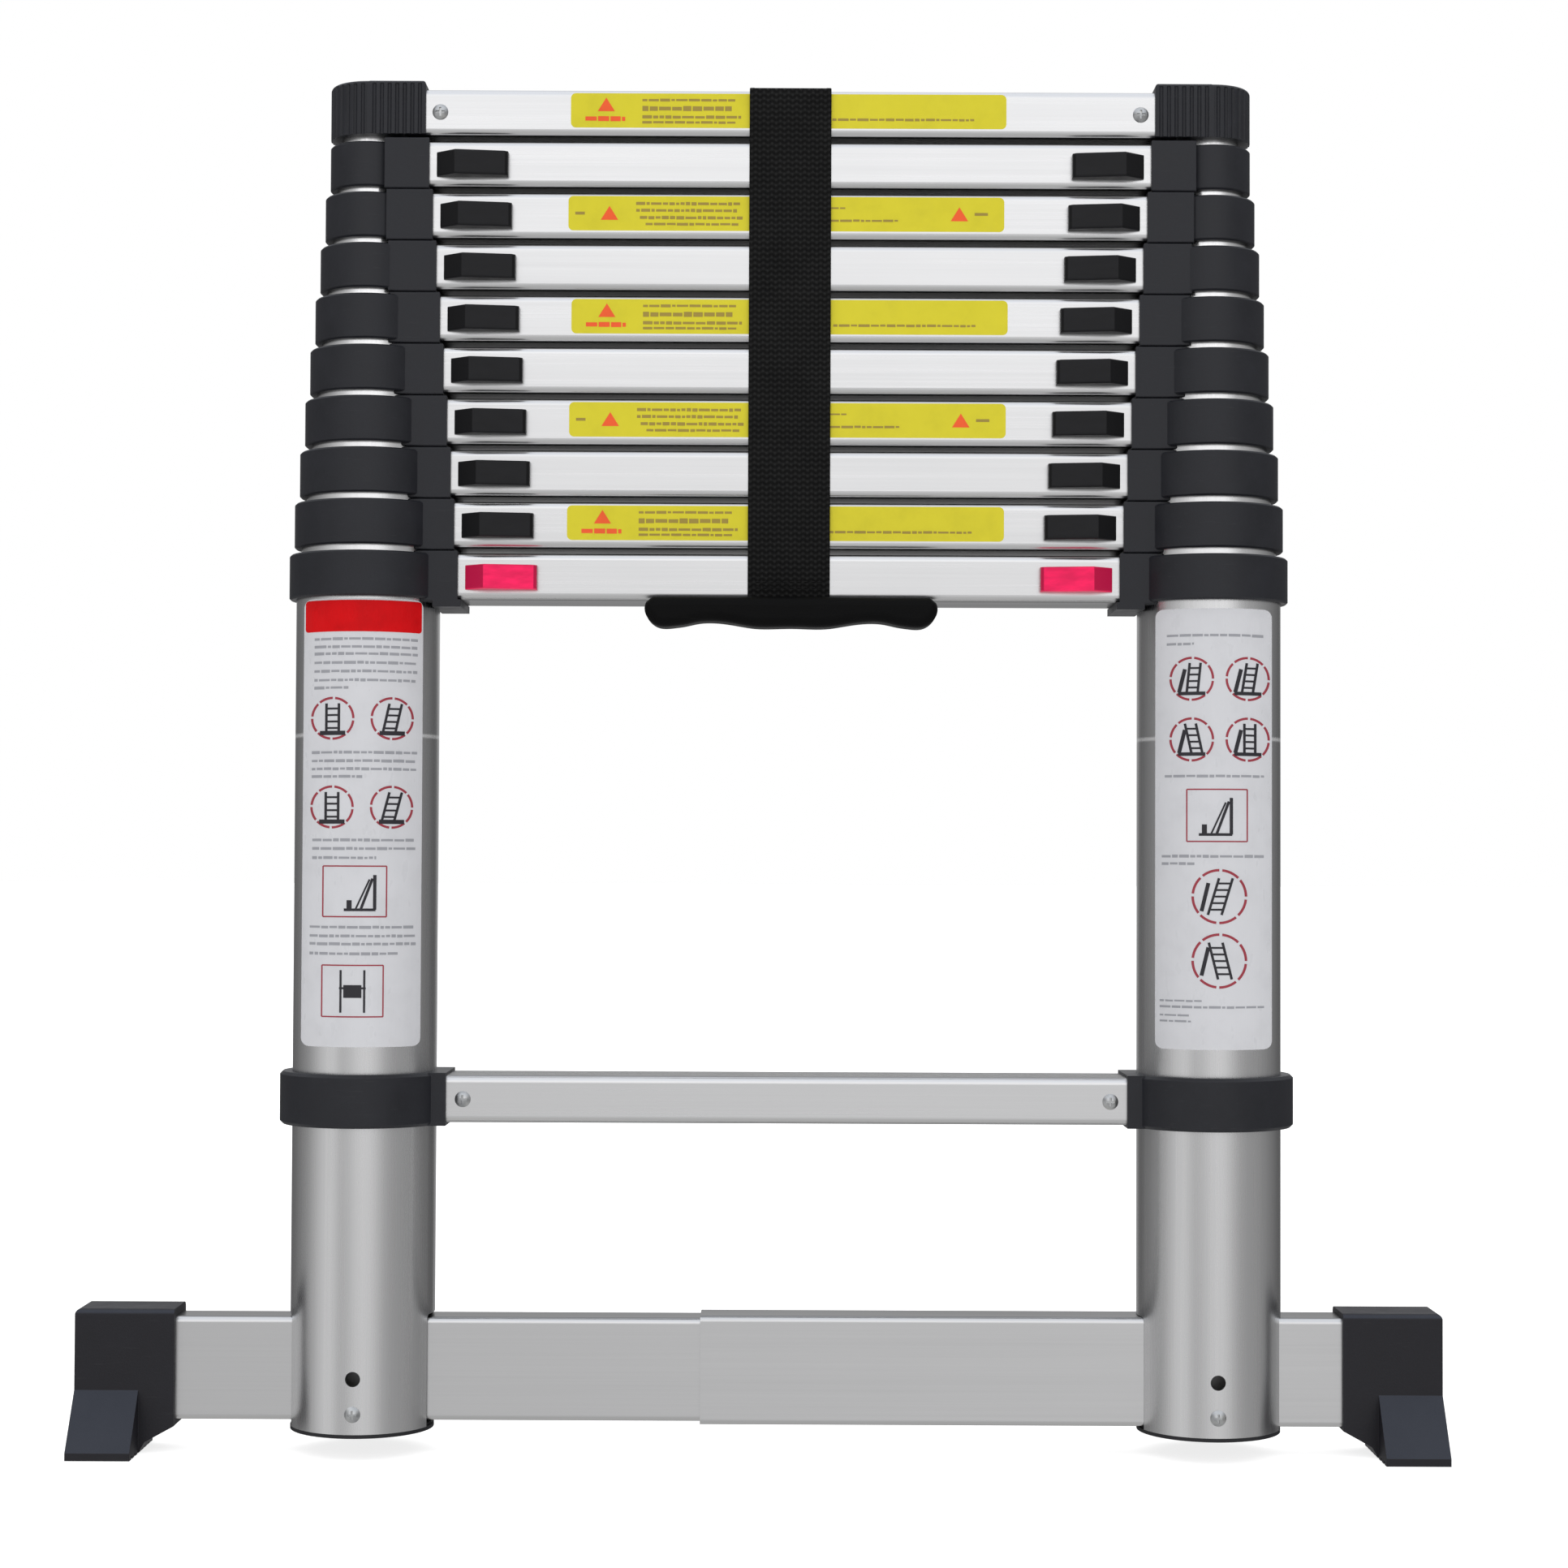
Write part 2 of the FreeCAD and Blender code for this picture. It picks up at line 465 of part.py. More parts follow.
def strap_band():
    """Webbing from the handle up the front of the stack, over the top rung and down the back."""
    inner, t = RUNG_DEPTH / 2 + STRAP_GAP, STRAP_THICK
    top = rung_z(SECTIONS) + RUNG_HEIGHT / 2 + STRAP_LIE
    low = HANDLE_LOW + STRAP_IN_HANDLE
    x0, x1 = MIDDLE_X - STRAP_WIDTH / 2, MIDDLE_X + STRAP_WIDTH / 2
    outer = box(x0, x1, -inner - t, inner + t, low, top + t)
    outer = outer.makeFillet(STRAP_FOLD_R, along_x(outer, lambda b: b.ZMin > top))
    core = box(x0 - 1, x1 + 1, -inner, inner, low - 1, top)
    core = core.makeFillet(STRAP_FOLD_R - t, along_x(core, lambda b: b.ZMin > low))
    back_end = RUNG_1_Z - RUNG_HEIGHT / 2 + STRAP_BACK_UP
    return outer.cut(core).cut(box(x0 - 1, x1 + 1, 0, inner + t + 1, low - 1, back_end))


def strap_tail():
    """The strap's free end: under the lowest rung and up outside the back of the band."""
    inner, t = RUNG_DEPTH / 2 + STRAP_GAP, STRAP_THICK
    under = RUNG_1_Z - RUNG_HEIGHT / 2 - STRAP_LIE
    x0, x1 = MIDDLE_X - STRAP_WIDTH / 2, MIDDLE_X + STRAP_WIDTH / 2
    back = inner + t + TAIL_GAP
    floor = box(x0, x1, -inner + 1.0, back + t, under - t, under)
    patch = box(x0, x1, back, back + t, under - t, under + TAIL_LENGTH)
    body = floor.fuse(patch).removeSplitter()
    fold = along_x(body, lambda b: b.YMin > back + t / 2 and b.ZMax < under)
    return body.makeFillet(TAIL_FOLD_R, fold)


def carry_handle():
    """Moulded grip, swollen at its middle and ends, held on the strap below the lowest rung."""
    half, top, low, swell = HANDLE_LENGTH / 2, HANDLE_TOP, HANDLE_LOW, HANDLE_SWELL
    middle = MIDDLE_X + HANDLE_SHIFT
    front = -RUNG_DEPTH / 2 - STRAP_GAP - STRAP_THICK - HANDLE_GAP - HANDLE_DEPTH
    # The right half of the underside, as (distance from the middle, height): the middle swell,
    # the finger grip beside it, the swell at the end, and the round end itself.
    right = [(0, low - swell), (20, low - swell), (27, low - 0.5 * swell), (34, low), (49, low),
             (55, low - 0.6 * swell), (61, low - swell), (69, low - swell + 0.2),
             (half - 2.4, low + 1.2), (half, low + 6.5), (half - 0.8, top - 3.0)]
    under = [(-x, z) for x, z in reversed(right[1:])] + right
    curve = Part.BSplineCurve()
    curve.interpolate([Vec(middle + x, front, z) for x, z in under])
    first, last = curve.StartPoint, curve.EndPoint
    inset = HANDLE_CROWN_INSET
    crown = [last, Vec(last.x - inset, front, top), Vec(first.x + inset, front, top), first]
    outline = Part.Wire([curve.toShape()] + Part.makePolygon(crown).Edges)
    body = Part.Face(outline).extrude(Vec(0, HANDLE_DEPTH, 0))
    front_edges = [e for e in body.Edges if e.BoundBox.YMax < front + 1e-6]
    return body.makeFillet(HANDLE_EDGE_R, front_edges)


# ---------------------------------------------------------------- build
os.makedirs("parts", exist_ok=True)

for k in range(1, SECTIONS + 1):
    number = "%02d" % k
    tubes = both(stile_tube(k))
    if k > 1:
        tubes += both(guide_bush(k))
    save("stile_tubes_" + number, tubes)
    if k == SECTIONS:
        continue
    save("collars_" + number, both(collar(k)))
    save("rung_" + number, [latched_rung(k)])
    pieces = latch(k)
    save("latch_%s_left" % number, [to_stile(piece, -1) for piece in pieces])
    save("latch_%s_right" % number, [to_stile(piece, 1) for piece in pieces])

top_z = rung_z(SECTIONS)
save("top_caps", both(top_cap()))
save("rung_10", [screwed_rung(top_z, rung_start(SECTIONS), TOP_SCREW_X)])
save("top_rung_screws", both(round_head(TOP_SCREW_X, top_z, -RUNG_DEPTH / 2,
                                                RUNG_SCREW_LENGTH)))

fixed_start = TUBE_R + FIXED_COLLAR_WALL + RUNG_END_GAP
fixed_end = max(fixed_start, FIXED_REACH + TOUCH)
save("fixed_rung", [screwed_rung(FIXED_RUNG_Z, fixed_end, FIXED_SCREW_X)])
save("fixed_rung_collars", both(fixed_rung_collar()))

bar_end = FOOT_END_X - FOOT_END_WALL - TOUCH
save("foot_left", [left_foot()])
save("foot_right", [right_foot()])
save("stabiliser_bar_left", [bar_profile(-bar_end, BAR_SEAM_X + BAR_NEST_LENGTH, nested=True)])
save("stabiliser_bar_right", [bar_profile(BAR_SEAM_X, bar_end)])
save("base_plugs", both(base_plug()))
fixed_screw = round_head(FIXED_SCREW_X, FIXED_RUNG_Z, -RUNG_DEPTH / 2, RUNG_SCREW_LENGTH)
save("base_fasteners", both(round_head(0, RIVET_Z, -TUBE_R, BASE_RIVET_LENGTH)) + both(fixed_screw))

save("strap_band", [strap_band()])
save("strap_tail", [strap_tail()])
save("carry_handle", [carry_handle()])

whole = Part.makeCompound(list(parts.values())).BoundBox
print("nodes", len(parts))
print("box x %.1f %.1f y %.1f %.1f z %.1f %.1f" % (whole.XMin, whole.XMax, whole.YMin, whole.YMax,
                                                  whole.ZMin, whole.ZMax))
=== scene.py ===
import math

import bpy
from mathutils import Euler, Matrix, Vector


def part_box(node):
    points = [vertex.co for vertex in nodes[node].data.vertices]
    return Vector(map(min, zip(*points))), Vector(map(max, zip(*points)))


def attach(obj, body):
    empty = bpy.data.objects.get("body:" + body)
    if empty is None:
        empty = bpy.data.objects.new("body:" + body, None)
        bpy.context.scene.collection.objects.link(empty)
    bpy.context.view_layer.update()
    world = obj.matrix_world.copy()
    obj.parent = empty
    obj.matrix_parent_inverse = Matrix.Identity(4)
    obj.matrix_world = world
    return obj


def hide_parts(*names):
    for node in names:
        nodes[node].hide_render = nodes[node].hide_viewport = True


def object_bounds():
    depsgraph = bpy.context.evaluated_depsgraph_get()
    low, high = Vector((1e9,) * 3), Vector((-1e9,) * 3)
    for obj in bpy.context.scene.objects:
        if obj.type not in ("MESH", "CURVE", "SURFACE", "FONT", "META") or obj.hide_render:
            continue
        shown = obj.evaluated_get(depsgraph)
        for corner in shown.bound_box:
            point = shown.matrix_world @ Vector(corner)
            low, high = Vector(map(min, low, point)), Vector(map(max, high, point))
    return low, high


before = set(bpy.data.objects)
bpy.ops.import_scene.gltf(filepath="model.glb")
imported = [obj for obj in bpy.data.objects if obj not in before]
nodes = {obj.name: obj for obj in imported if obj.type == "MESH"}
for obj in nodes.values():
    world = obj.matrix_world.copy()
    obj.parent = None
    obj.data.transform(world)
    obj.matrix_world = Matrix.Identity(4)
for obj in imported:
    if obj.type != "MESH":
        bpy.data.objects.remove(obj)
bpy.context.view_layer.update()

# Lengths are in metres, except in label space, which is in millimetres.
SECTIONS = 10
MM = 0.001


# ---------------------------------------------------------------- places taken from the CAD
def number(k):
    return "%02d" % k


def middle(node):
    lo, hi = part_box(node)
    return (lo + hi) / 2


tube_lo, tube_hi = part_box("stile_tubes_01")
TUBE_R = (tube_hi.y - tube_lo.y) / 2
LEFT_X, RIGHT_X = tube_lo.x + TUBE_R, tube_hi.x - TUBE_R
MIDDLE_X = (LEFT_X + RIGHT_X) / 2
RUNG_FACE_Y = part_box("rung_10")[0].y


# ---------------------------------------------------------------- node helpers
def shade(colour, factor):
    return tuple(min(1.0, c * factor) for c in colour)


class Nodes:
    """A small wrapper that makes and links the nodes of one tree."""

    def __init__(self, tree):
        self.tree = tree
        tree.nodes.clear()

    def add(self, kind, **values):
        """A new node. Each value goes to the property of that name, or else to the socket."""
        node = self.tree.nodes.new(kind)
        for name, value in values.items():
            if hasattr(node, name):
                setattr(node, name, value)
            else:
                node.inputs[name].default_value = value
        return node

    def link(self, source, target):
        self.tree.links.new(source, target)

    def feed(self, socket, value):
        """Gives a socket a number, a colour or the output of another node."""
        if isinstance(value, (int, float)):
            socket.default_value = value
        elif isinstance(value, tuple):
            socket.default_value = (*value, 1)
        else:
            self.link(value, socket)

    def math(self, operation, *operands):
        node = self.add("ShaderNodeMath", operation=operation)
        for socket, value in zip(node.inputs, operands):
            self.feed(socket, value)
        return node.outputs[0]

    def plus(self, a, b):
        return self.math("ADD", a, b)

    def minus(self, a, b):
        return self.math("SUBTRACT", a, b)

    def times(self, a, b):
        return self.math("MULTIPLY", a, b)

    def weighted(self, a, weight_a, b, weight_b):
        return self.plus(self.times(a, weight_a), self.times(b, weight_b))

    def coordinates(self, scale=(1, 1, 1), source="Object"):
        texture = self.add("ShaderNodeTexCoord")
        mapping = self.add("ShaderNodeMapping", Scale=scale)
        self.link(texture.outputs[source], mapping.inputs["Vector"])
        return mapping.outputs[0]

    def split(self, vector):
        """The X, Y and Z of a vector."""
        node = self.add("ShaderNodeSeparateXYZ")
        self.link(vector, node.inputs[0])
        return node.outputs

    def normal(self):
        """The direction that the surface looks in."""
        return self.add("ShaderNodeNewGeometry").outputs["Normal"]

    def noise(self, vector, scale=1.0, detail=3.0, roughness=0.5):
        node = self.add("ShaderNodeTexNoise", Scale=scale, Detail=detail, Roughness=roughness)
        self.link(vector, node.inputs["Vector"])
        return node.outputs["Fac"]

    def ramp(self, fac, stops):
        """A colour ramp through (position, colour) stops."""
        node = self.add("ShaderNodeValToRGB")
        elements = node.color_ramp.elements
        while len(elements) < len(stops):
            elements.new(0.5)
        for element, (position, colour) in zip(elements, stops):
            element.position = position
            element.color = (*colour, 1)
        self.link(fac, node.inputs["Fac"])
        return node.outputs["Color"]

    def shades(self, fac, colour, stops):
        """A ramp through darker and lighter shades of a colour, as (position, factor) stops."""
        return self.ramp(fac, [(position, shade(colour, factor)) for position, factor in stops])

    def remap(self, value, low, high, new_low, new_high):
        node = self.add("ShaderNodeMapRange")
        for name, level in (("From Min", low), ("From Max", high),
                            ("To Min", new_low), ("To Max", new_high)):
            node.inputs[name].default_value = level
        self.link(value, node.inputs["Value"])
        return node.outputs["Result"]

    def mix(self, fac, a, b):
        node = self.add("ShaderNodeMix", data_type="RGBA")
        colour_sockets = [s for s in node.inputs if s.type == "RGBA"]
        for socket, value in zip([node.inputs[0]] + colour_sockets, (fac, a, b)):
            self.feed(socket, value)
        return [s for s in node.outputs if s.type == "RGBA"][0]

    def bump(self, height, distance, strength, normal=None):
        node = self.add("ShaderNodeBump", Strength=strength, Distance=distance)
        self.link(height, node.inputs["Height"])
        if normal is not None:
            self.link(normal, node.inputs["Normal"])
        return node.outputs["Normal"]

    def edges(self, radius):
        """A mask that grows towards sharp edges, and a normal that is rounded there."""
        rounded = self.add("ShaderNodeBevel", samples=4, Radius=radius).outputs[0]
        likeness = self.add("ShaderNodeVectorMath", operation="DOT_PRODUCT")
        self.link(rounded, likeness.inputs[0])
        self.link(self.normal(), likeness.inputs[1])
        return self.remap(likeness.outputs["Value"], 0.99, 0.80, 0.0, 1.0), rounded

    def painted_slope_light(self, base, colour):
        """Paints light on slopes that lean upwards, as light from above falls on them, but not on
        level faces.
        """
        up = self.split(self.normal())["Z"]
        slope = self.times(self.remap(up, 0.15, 0.45, 0.0, 0.9),
                           self.remap(up, 0.70, 0.95, 1.0, 0.0))
        return self.mix(slope, base, colour)


# ---------------------------------------------------------------- materials
def material(name, fixed, varied):
    """A Principled material. fixed holds what is the same all over the surface, which goes on the
    shader's own sockets. varied(n) makes the nodes and returns what each socket is linked to."""
    made = bpy.data.materials.new(name)
    made.use_nodes = True
    n = Nodes(made.node_tree)
    shader = n.add("ShaderNodeBsdfPrincipled")
    output = n.add("ShaderNodeOutputMaterial")
    n.link(shader.outputs[0], output.inputs["Surface"])
    for socket, value in fixed.items():
        shader.inputs[socket].default_value = value
    for socket, source in varied(n).items():
        n.link(source, shader.inputs[socket])
    return made


RING_HALF, RING_FADE = 0.4 * MM, 1.0 * MM       # of the worn ring: its middle, and its soft edge
RING_WEAR, RING_LIGHTER = 0.38, 1.3


def aluminium(name, colour, grain, rough, streak, depth=0.00004, ring_z=None, level_shade=None):
    """Satin aluminium. grain scales the coordinates, small along the direction of the lines, and
    streak and depth are the lines' contrast and relief. ring_z is the height of a worn ring. The
    level faces can get painted shade: the last argument is how bright they are beside the rest."""
    def varied(n):
        sockets = {}
        lines = n.noise(n.coordinates(grain), 1.0, 4.0, 0.65)
        broad = n.noise(n.coordinates(tuple(g * 0.12 for g in grain)), 1.0, 2.0)
        clouds = n.noise(n.coordinates((9, 9, 9)))
        specks = n.noise(n.coordinates((900, 900, 900)), 1.0, 2.0)
        tone = n.plus(n.weighted(lines, 0.45, broad, 0.35), n.times(clouds, 0.2))
        base = n.shades(tone, colour, [(0.30, 1 - streak), (0.52, 1), (0.72, 1 + streak * 0.7)])
        if ring_z is not None:
            height = n.split(n.coordinates())["Z"]
            off = n.math("ABSOLUTE", n.minus(height, ring_z))
            worn = n.remap(off, RING_HALF, RING_HALF + RING_FADE, RING_WEAR, 0.0)
            base = n.mix(worn, base, shade(colour, RING_LIGHTER))
            sockets["Metallic"] = n.minus(1.0, n.times(worn, 0.6))
        # Painted shade: level faces, tops and undersides, are darkened as if in shade between the
        # rungs.
        if level_shade is not None:
            level = n.math("ABSOLUTE", n.split(n.normal())["Z"])
            base = n.mix(n.remap(level, 0.80, 0.95, 0.0, 1.0), base, shade(colour, level_shade))
        sockets["Base Color"] = base
        sockets["Roughness"] = n.remap(tone, 0.3, 0.7, rough + 0.05, rough - 0.04)
        sockets["Normal"] = n.bump(n.weighted(lines, 0.8, specks, 0.2), depth, 0.5)
        return sockets

    return material(name, {"Metallic": 1.0}, varied)


def moulding(name, colour, rough, grain_scale=1500, grain_depth=0.00006, scuff=0.25, shine=0.35,
             edge=1.0, slope_light=None):
    """Moulded plastic or rubber with a fine grain, mottling, scuffs, and lighter edges that are
    partly rubbed wear and partly a painted highlight. Slopes that lean upwards can get painted
    light.
    """
    def varied(n):
        where = n.coordinates()
        grain = n.noise(where, grain_scale, 2.0, 0.6)
        mottle = n.noise(where, 60, 4.0, 0.6)
        scuffs = n.noise(n.coordinates((40, 260, 700)), 1.0, 3.0, 0.7)
        tone = n.weighted(mottle, 0.7, grain, 0.3)
        base = n.shades(tone, colour, [(0.30, 0.80), (0.55, 1), (0.78, 1.25)])
        scuffed = n.remap(scuffs, 0.62, 0.80, 0.0, scuff)
        base = n.mix(scuffed, base, tuple(c * 0.8 + 0.03 for c in colour))
        # Painted light: slopes that lean upwards are lighter, as light from above falls on them.
        if slope_light is not None:
            base = n.painted_slope_light(base, slope_light)
        near_edge, rounded = n.edges(0.0006)
        # Painted highlight as well as wear: the edges are made lighter, as rubbed edges that catch
        # the light.
        rubbed_and_lit = n.times(near_edge, n.remap(mottle, 0.35, 0.6, 0.4, 1.0))
        rubbed_and_lit = n.times(rubbed_and_lit, 0.55 * edge)
        roughness = n.plus(n.remap(mottle, 0.3, 0.7, rough - 0.05, rough + 0.07),
                           n.times(scuffed, 0.25))
        return {"Base Color": n.mix(rubbed_and_lit, base, tuple(c * 1.6 + 0.022 * edge for c in colour)),
                "Roughness": n.minus(roughness, n.times(rubbed_and_lit, 0.12)),
                "Normal": n.bump(grain, grain_depth, 0.7, rounded)}

    return material(name, {"Specular IOR Level": shine}, varied)


PIN_STEEL = (0.52, 0.53, 0.54)


def latch_material(name, colour, rough, pin_edge, comparison):
    """Thumb slide plastic with painted shade on its ramps, which face sideways, and a painted
    highlight along its edges. Where X passes the comparison with pin_edge lies the steel locking
    pin."""
    def varied(n):
        pin = n.math(comparison, n.split(n.coordinates())["X"], pin_edge)
        grain = n.noise(n.coordinates(), 1800, 2.0, 0.6)
        mottle = n.noise(n.coordinates((90, 90, 300)))
        near_edge, rounded = n.edges(0.0007)
        plastic = n.shades(mottle, colour, [(0.32, 0.82), (0.55, 1), (0.76, 1.18)])
        # Painted shade: faces that turn sideways, the ramps, are darkened as if turned from the
        # light.
        sideways_shade = n.math("ABSOLUTE", n.split(n.normal())["X"])
        plastic = n.mix(n.remap(sideways_shade, 0.30, 0.60, 0.0, 1.0), plastic, shade(colour, 0.55))
        # Painted highlight: the edges are made lighter.
        plastic = n.mix(n.times(near_edge, 0.4), plastic,
                        tuple(min(1.0, c * 1.15 + 0.02) for c in colour))
        return {"Base Color": n.mix(pin, plastic, PIN_STEEL),
                "Metallic": pin,
                "Roughness": n.remap(mottle, 0.3, 0.7, rough - 0.05, rough + 0.06),
                "Normal": n.bump(grain, 0.00004, 0.6, rounded)}

    return material(name, {"Specular IOR Level": 0.2}, varied)


WARP_PITCH, WEFT_PITCH = 4.3 * MM, 3.0 * MM


def webbing_material(name, colour):
    """Woven polyester webbing. UV runs in metres, across the strap and along it."""
    def varied(n):
        texture = n.add("ShaderNodeTexCoord")
        across, along, _ = n.split(texture.outputs["UV"])
        warp = n.math("SINE", n.times(across, 2 * math.pi / WARP_PITCH))
        row = n.plus(n.times(along, 2 * math.pi / WEFT_PITCH), n.times(warp, 1.2))
        weave = n.times(n.plus(n.times(n.math("ABSOLUTE", warp), 0.5), 0.5),
                        n.plus(n.times(n.math("SINE", row), 0.4), 0.6))
        fuzz = n.noise(n.coordinates(source="UV"), 2600, 2.0, 0.7)
        wear = n.noise(n.coordinates(source="UV"), 45, 4.0, 0.6)
        height = n.plus(weave, n.times(fuzz, 0.25))
        # The weave's hollows are darker and its raised threads lighter: painted shade and painted
        # highlight by the weave's height. The wear noise is the strap's own tone.
        tone = n.weighted(height, 0.55, wear, 0.4)
        return {"Base Color": n.shades(tone, colour, [(0.20, 0.35), (0.52, 1), (0.85, 2.6)]),
                "Roughness": n.remap(height, 0.0, 1.2, 0.95, 0.66),
                "Normal": n.bump(height, 0.0005, 0.9)}

    return material(name, {"Specular IOR Level": 0.14, "Sheen Weight": 0.01,
                           "Sheen Roughness": 0.45}, varied)


def film_material(name, colour, rough, stain=0.06, shine=0.3):
    """Printed vinyl film with a faint ripple, a little dirt and a soft gloss."""
    def varied(n):
        blotch = n.noise(n.coordinates(), 70, 4.0, 0.6)
        ripple = n.noise(n.coordinates((1, 1, 0.4)), 220, 2.0)
        stops = [(0.28, 1 - stain), (0.5, 1), (0.75, 1 + stain * 0.5)]
        return {"Base Color": n.shades(blotch, colour, stops),
                "Roughness": n.remap(ripple, 0.3, 0.7, rough - 0.06, rough + 0.08),
                "Normal": n.bump(ripple, 0.00008, 0.4)}

    return material(name, {"Specular IOR Level": shine}, varied)


def zinc(n):
    """Zinc plate with small marks and a cloudy, slightly warm tone."""
    marks = n.noise(n.coordinates(), 700, 4.0, 0.7)
    cloud = n.noise(n.coordinates(), 160)
    stops = [(0.3, (0.42, 0.43, 0.44)), (0.55, (0.60, 0.61, 0.61)), (0.75, (0.70, 0.69, 0.66))]
    return {"Base Color": n.ramp(cloud, stops),
            "Roughness": n.remap(marks, 0.3, 0.7, 0.24, 0.44),
            "Normal": n.bump(marks, 0.00003, 0.6)}


def pale_floor(n):
    grain = n.noise(n.coordinates(), 5, 5.0, 0.55)
    return {"Base Color": n.ramp(grain, [(0.3, (0.50, 0.50, 0.50)), (0.7, (0.53, 0.53, 0.53))]),
            "Roughness": n.remap(grain, 0.3, 0.7, 0.80, 0.92)}


# ---------------------------------------------------------------- mesh helpers
def add_object(name, vertices, faces, look, smooth=True, uvs=None):
    mesh = bpy.data.meshes.new(name)
    mesh.from_pydata(vertices, [], faces)
    mesh.update()
    if uvs is not None:
        layer = mesh.uv_layers.new(name="weave")
        for loop in mesh.loops:
            layer.data[loop.index].uv = uvs[loop.vertex_index]
    for polygon in mesh.polygons:
        polygon.use_smooth = smooth
    mesh.materials.append(look)
    made = bpy.data.objects.new(name, mesh)
    bpy.context.scene.collection.objects.link(made)
    return made


def loft(rings):
    """Vertices and faces of a closed skin over equal rings of points, with flat ends."""
    count = len(rings[0])
    vertices = [p for ring in rings for p in ring]
    faces = []
    for r in range(len(rings) - 1):
        for i in range(count):
            j = (i + 1) % count
            a, b = r * count, (r + 1) * count
            faces.append((a + i, a + j, b + j, b + i))
    faces.append(tuple(reversed(range(count))))
    faces.append(tuple((len(rings) - 1) * count + i for i in range(count)))
    return vertices, faces


# ---------------------------------------------------------------- flat print: shapes in label space
# A shape is a list of polygons in millimetres: x to the right, y up, from the label's centre or,
# once lowered, from the middle of its top. Long shapes are cut short, so that they follow a curve.
BAR_STEP = 1.5
WORD_GAP, WORD_MIN, WORD_SPREAD = 0.7, 1.6, 4.6
RING_STEPS, DASH_STEPS = 56, 7
CORNER_STEPS = 5
FILM = 0.05                     # thickness of a printed layer


def bar(x0, x1, y, height):
    """A level bar with upright ends."""
    pieces = max(1, int(math.ceil((x1 - x0) / BAR_STEP)))
    xs = [x0 + (x1 - x0) * i / pieces for i in range(pieces + 1)]
    return [[(a, y - height / 2), (b, y - height / 2), (b, y + height / 2), (a, y + height / 2)]
            for a, b in zip(xs, xs[1:])]


def words(x0, x1, y, height, seed):
    """A line of plain bars of uneven length that stands for a line of small print."""
    out, x, draw = [], x0, seed
    while x < x1 - 0.8:
        draw = (draw * 37 + 11) % 101
        length = min(WORD_MIN + WORD_SPREAD * draw / 100, x1 - x)
        out += bar(x, x + length, y + 0.06 * ((draw % 3) - 1),
                   height * (0.85 + 0.3 * (draw % 5) / 4))
        x += length + WORD_GAP
    return out


def annulus(cx, cy, radius, width):
    """A ring drawn as long dashes."""
    out = []
    inner = radius - width
    for i in range(RING_STEPS):
        if i % DASH_STEPS == DASH_STEPS - 1:
            continue
        a, b = 2 * math.pi * i / RING_STEPS, 2 * math.pi * (i + 1) / RING_STEPS
        out.append([(cx + r * math.cos(angle), cy + r * math.sin(angle))
                    for r, angle in ((inner, a), (radius, a), (radius, b), (inner, b))])
    return out


def stroke(x0, y0, x1, y1, width, pieces):
    """A straight line in any direction."""
    length = math.hypot(x1 - x0, y1 - y0)
    nx, ny = -(y1 - y0) / length * width / 2, (x1 - x0) / length * width / 2
    points = [(x0 + (x1 - x0) * i / pieces, y0 + (y1 - y0) * i / pieces) for i in range(pieces + 1)]
    return [[(ax - nx, ay - ny), (bx - nx, by - ny), (bx + nx, by + ny), (ax + nx, ay + ny)]
            for (ax, ay), (bx, by) in zip(points, points[1:])]


def ladder_icon(cx, cy, height, lean, rungs, gap):
    """A little leaning ladder: two rails and a few rungs."""
    out, half = [], height / 2
    for x in (cx - gap / 2, cx + gap / 2):
        out += stroke(x - lean * half, cy - half, x + lean * half, cy + half, 1.3, 6)
    for i in range(rungs):
        t = -half + height * (i + 0.8) / (rungs + 0.6)
        out += stroke(cx - gap / 2 + lean * t, cy + t, cx + gap / 2 + lean * t, cy + t, 1.0, 3)
    return out


def wall_icon(cx, cy, size):
    """A ladder against a wall: ground, wall, the ladder's two sides and a short post."""
    out, h = [], size / 2
    for x0, x1, y1, width, pieces in ((-1.0, 0.8, -1.0, 1.4, 8), (0.75, 0.75, 1.0, 1.7, 6),
                                      (-0.05, 0.62, 0.8, 1.4, 6), (-0.35, 0.45, 0.75, 0.9, 6),
                                      (-0.70, -0.70, -0.45, 2.6, 4)):
        out += stroke(cx + h * x0, cy - h, cx + h * x1, cy + h * y1, width, pieces)
    return out


def posts_icon(cx, cy, size):
    """Two upright posts with a block between them."""
    out, h = [], size / 2
    for x in (cx - h * 0.55, cx + h * 0.55):
        out += stroke(x, cy - h, x, cy + h, 1.1, 4)
    out += bar(cx - h * 0.42, cx + h * 0.42, cy, size * 0.30)
    out += bar(cx - h * 0.62, cx + h * 0.62, cy + h * 0.15, 1.0)
    return out


def frame_lines(cx, cy, width, height, line=0.7):
    x0, x1, y0, y1 = cx - width / 2, cx + width / 2, cy - height / 2, cy + height / 2
    return (bar(x0, x1, y0, line) + bar(x0, x1, y1, line)
            + stroke(x0, y0, x0, y1, line, 4) + stroke(x1, y0, x1, y1, line, 4))


def triangle(cx, cy, side):
    h = side * 0.80
    return [[(cx - side / 2, cy - h / 2), (cx + side / 2, cy - h / 2), (cx, cy + h / 2)]]


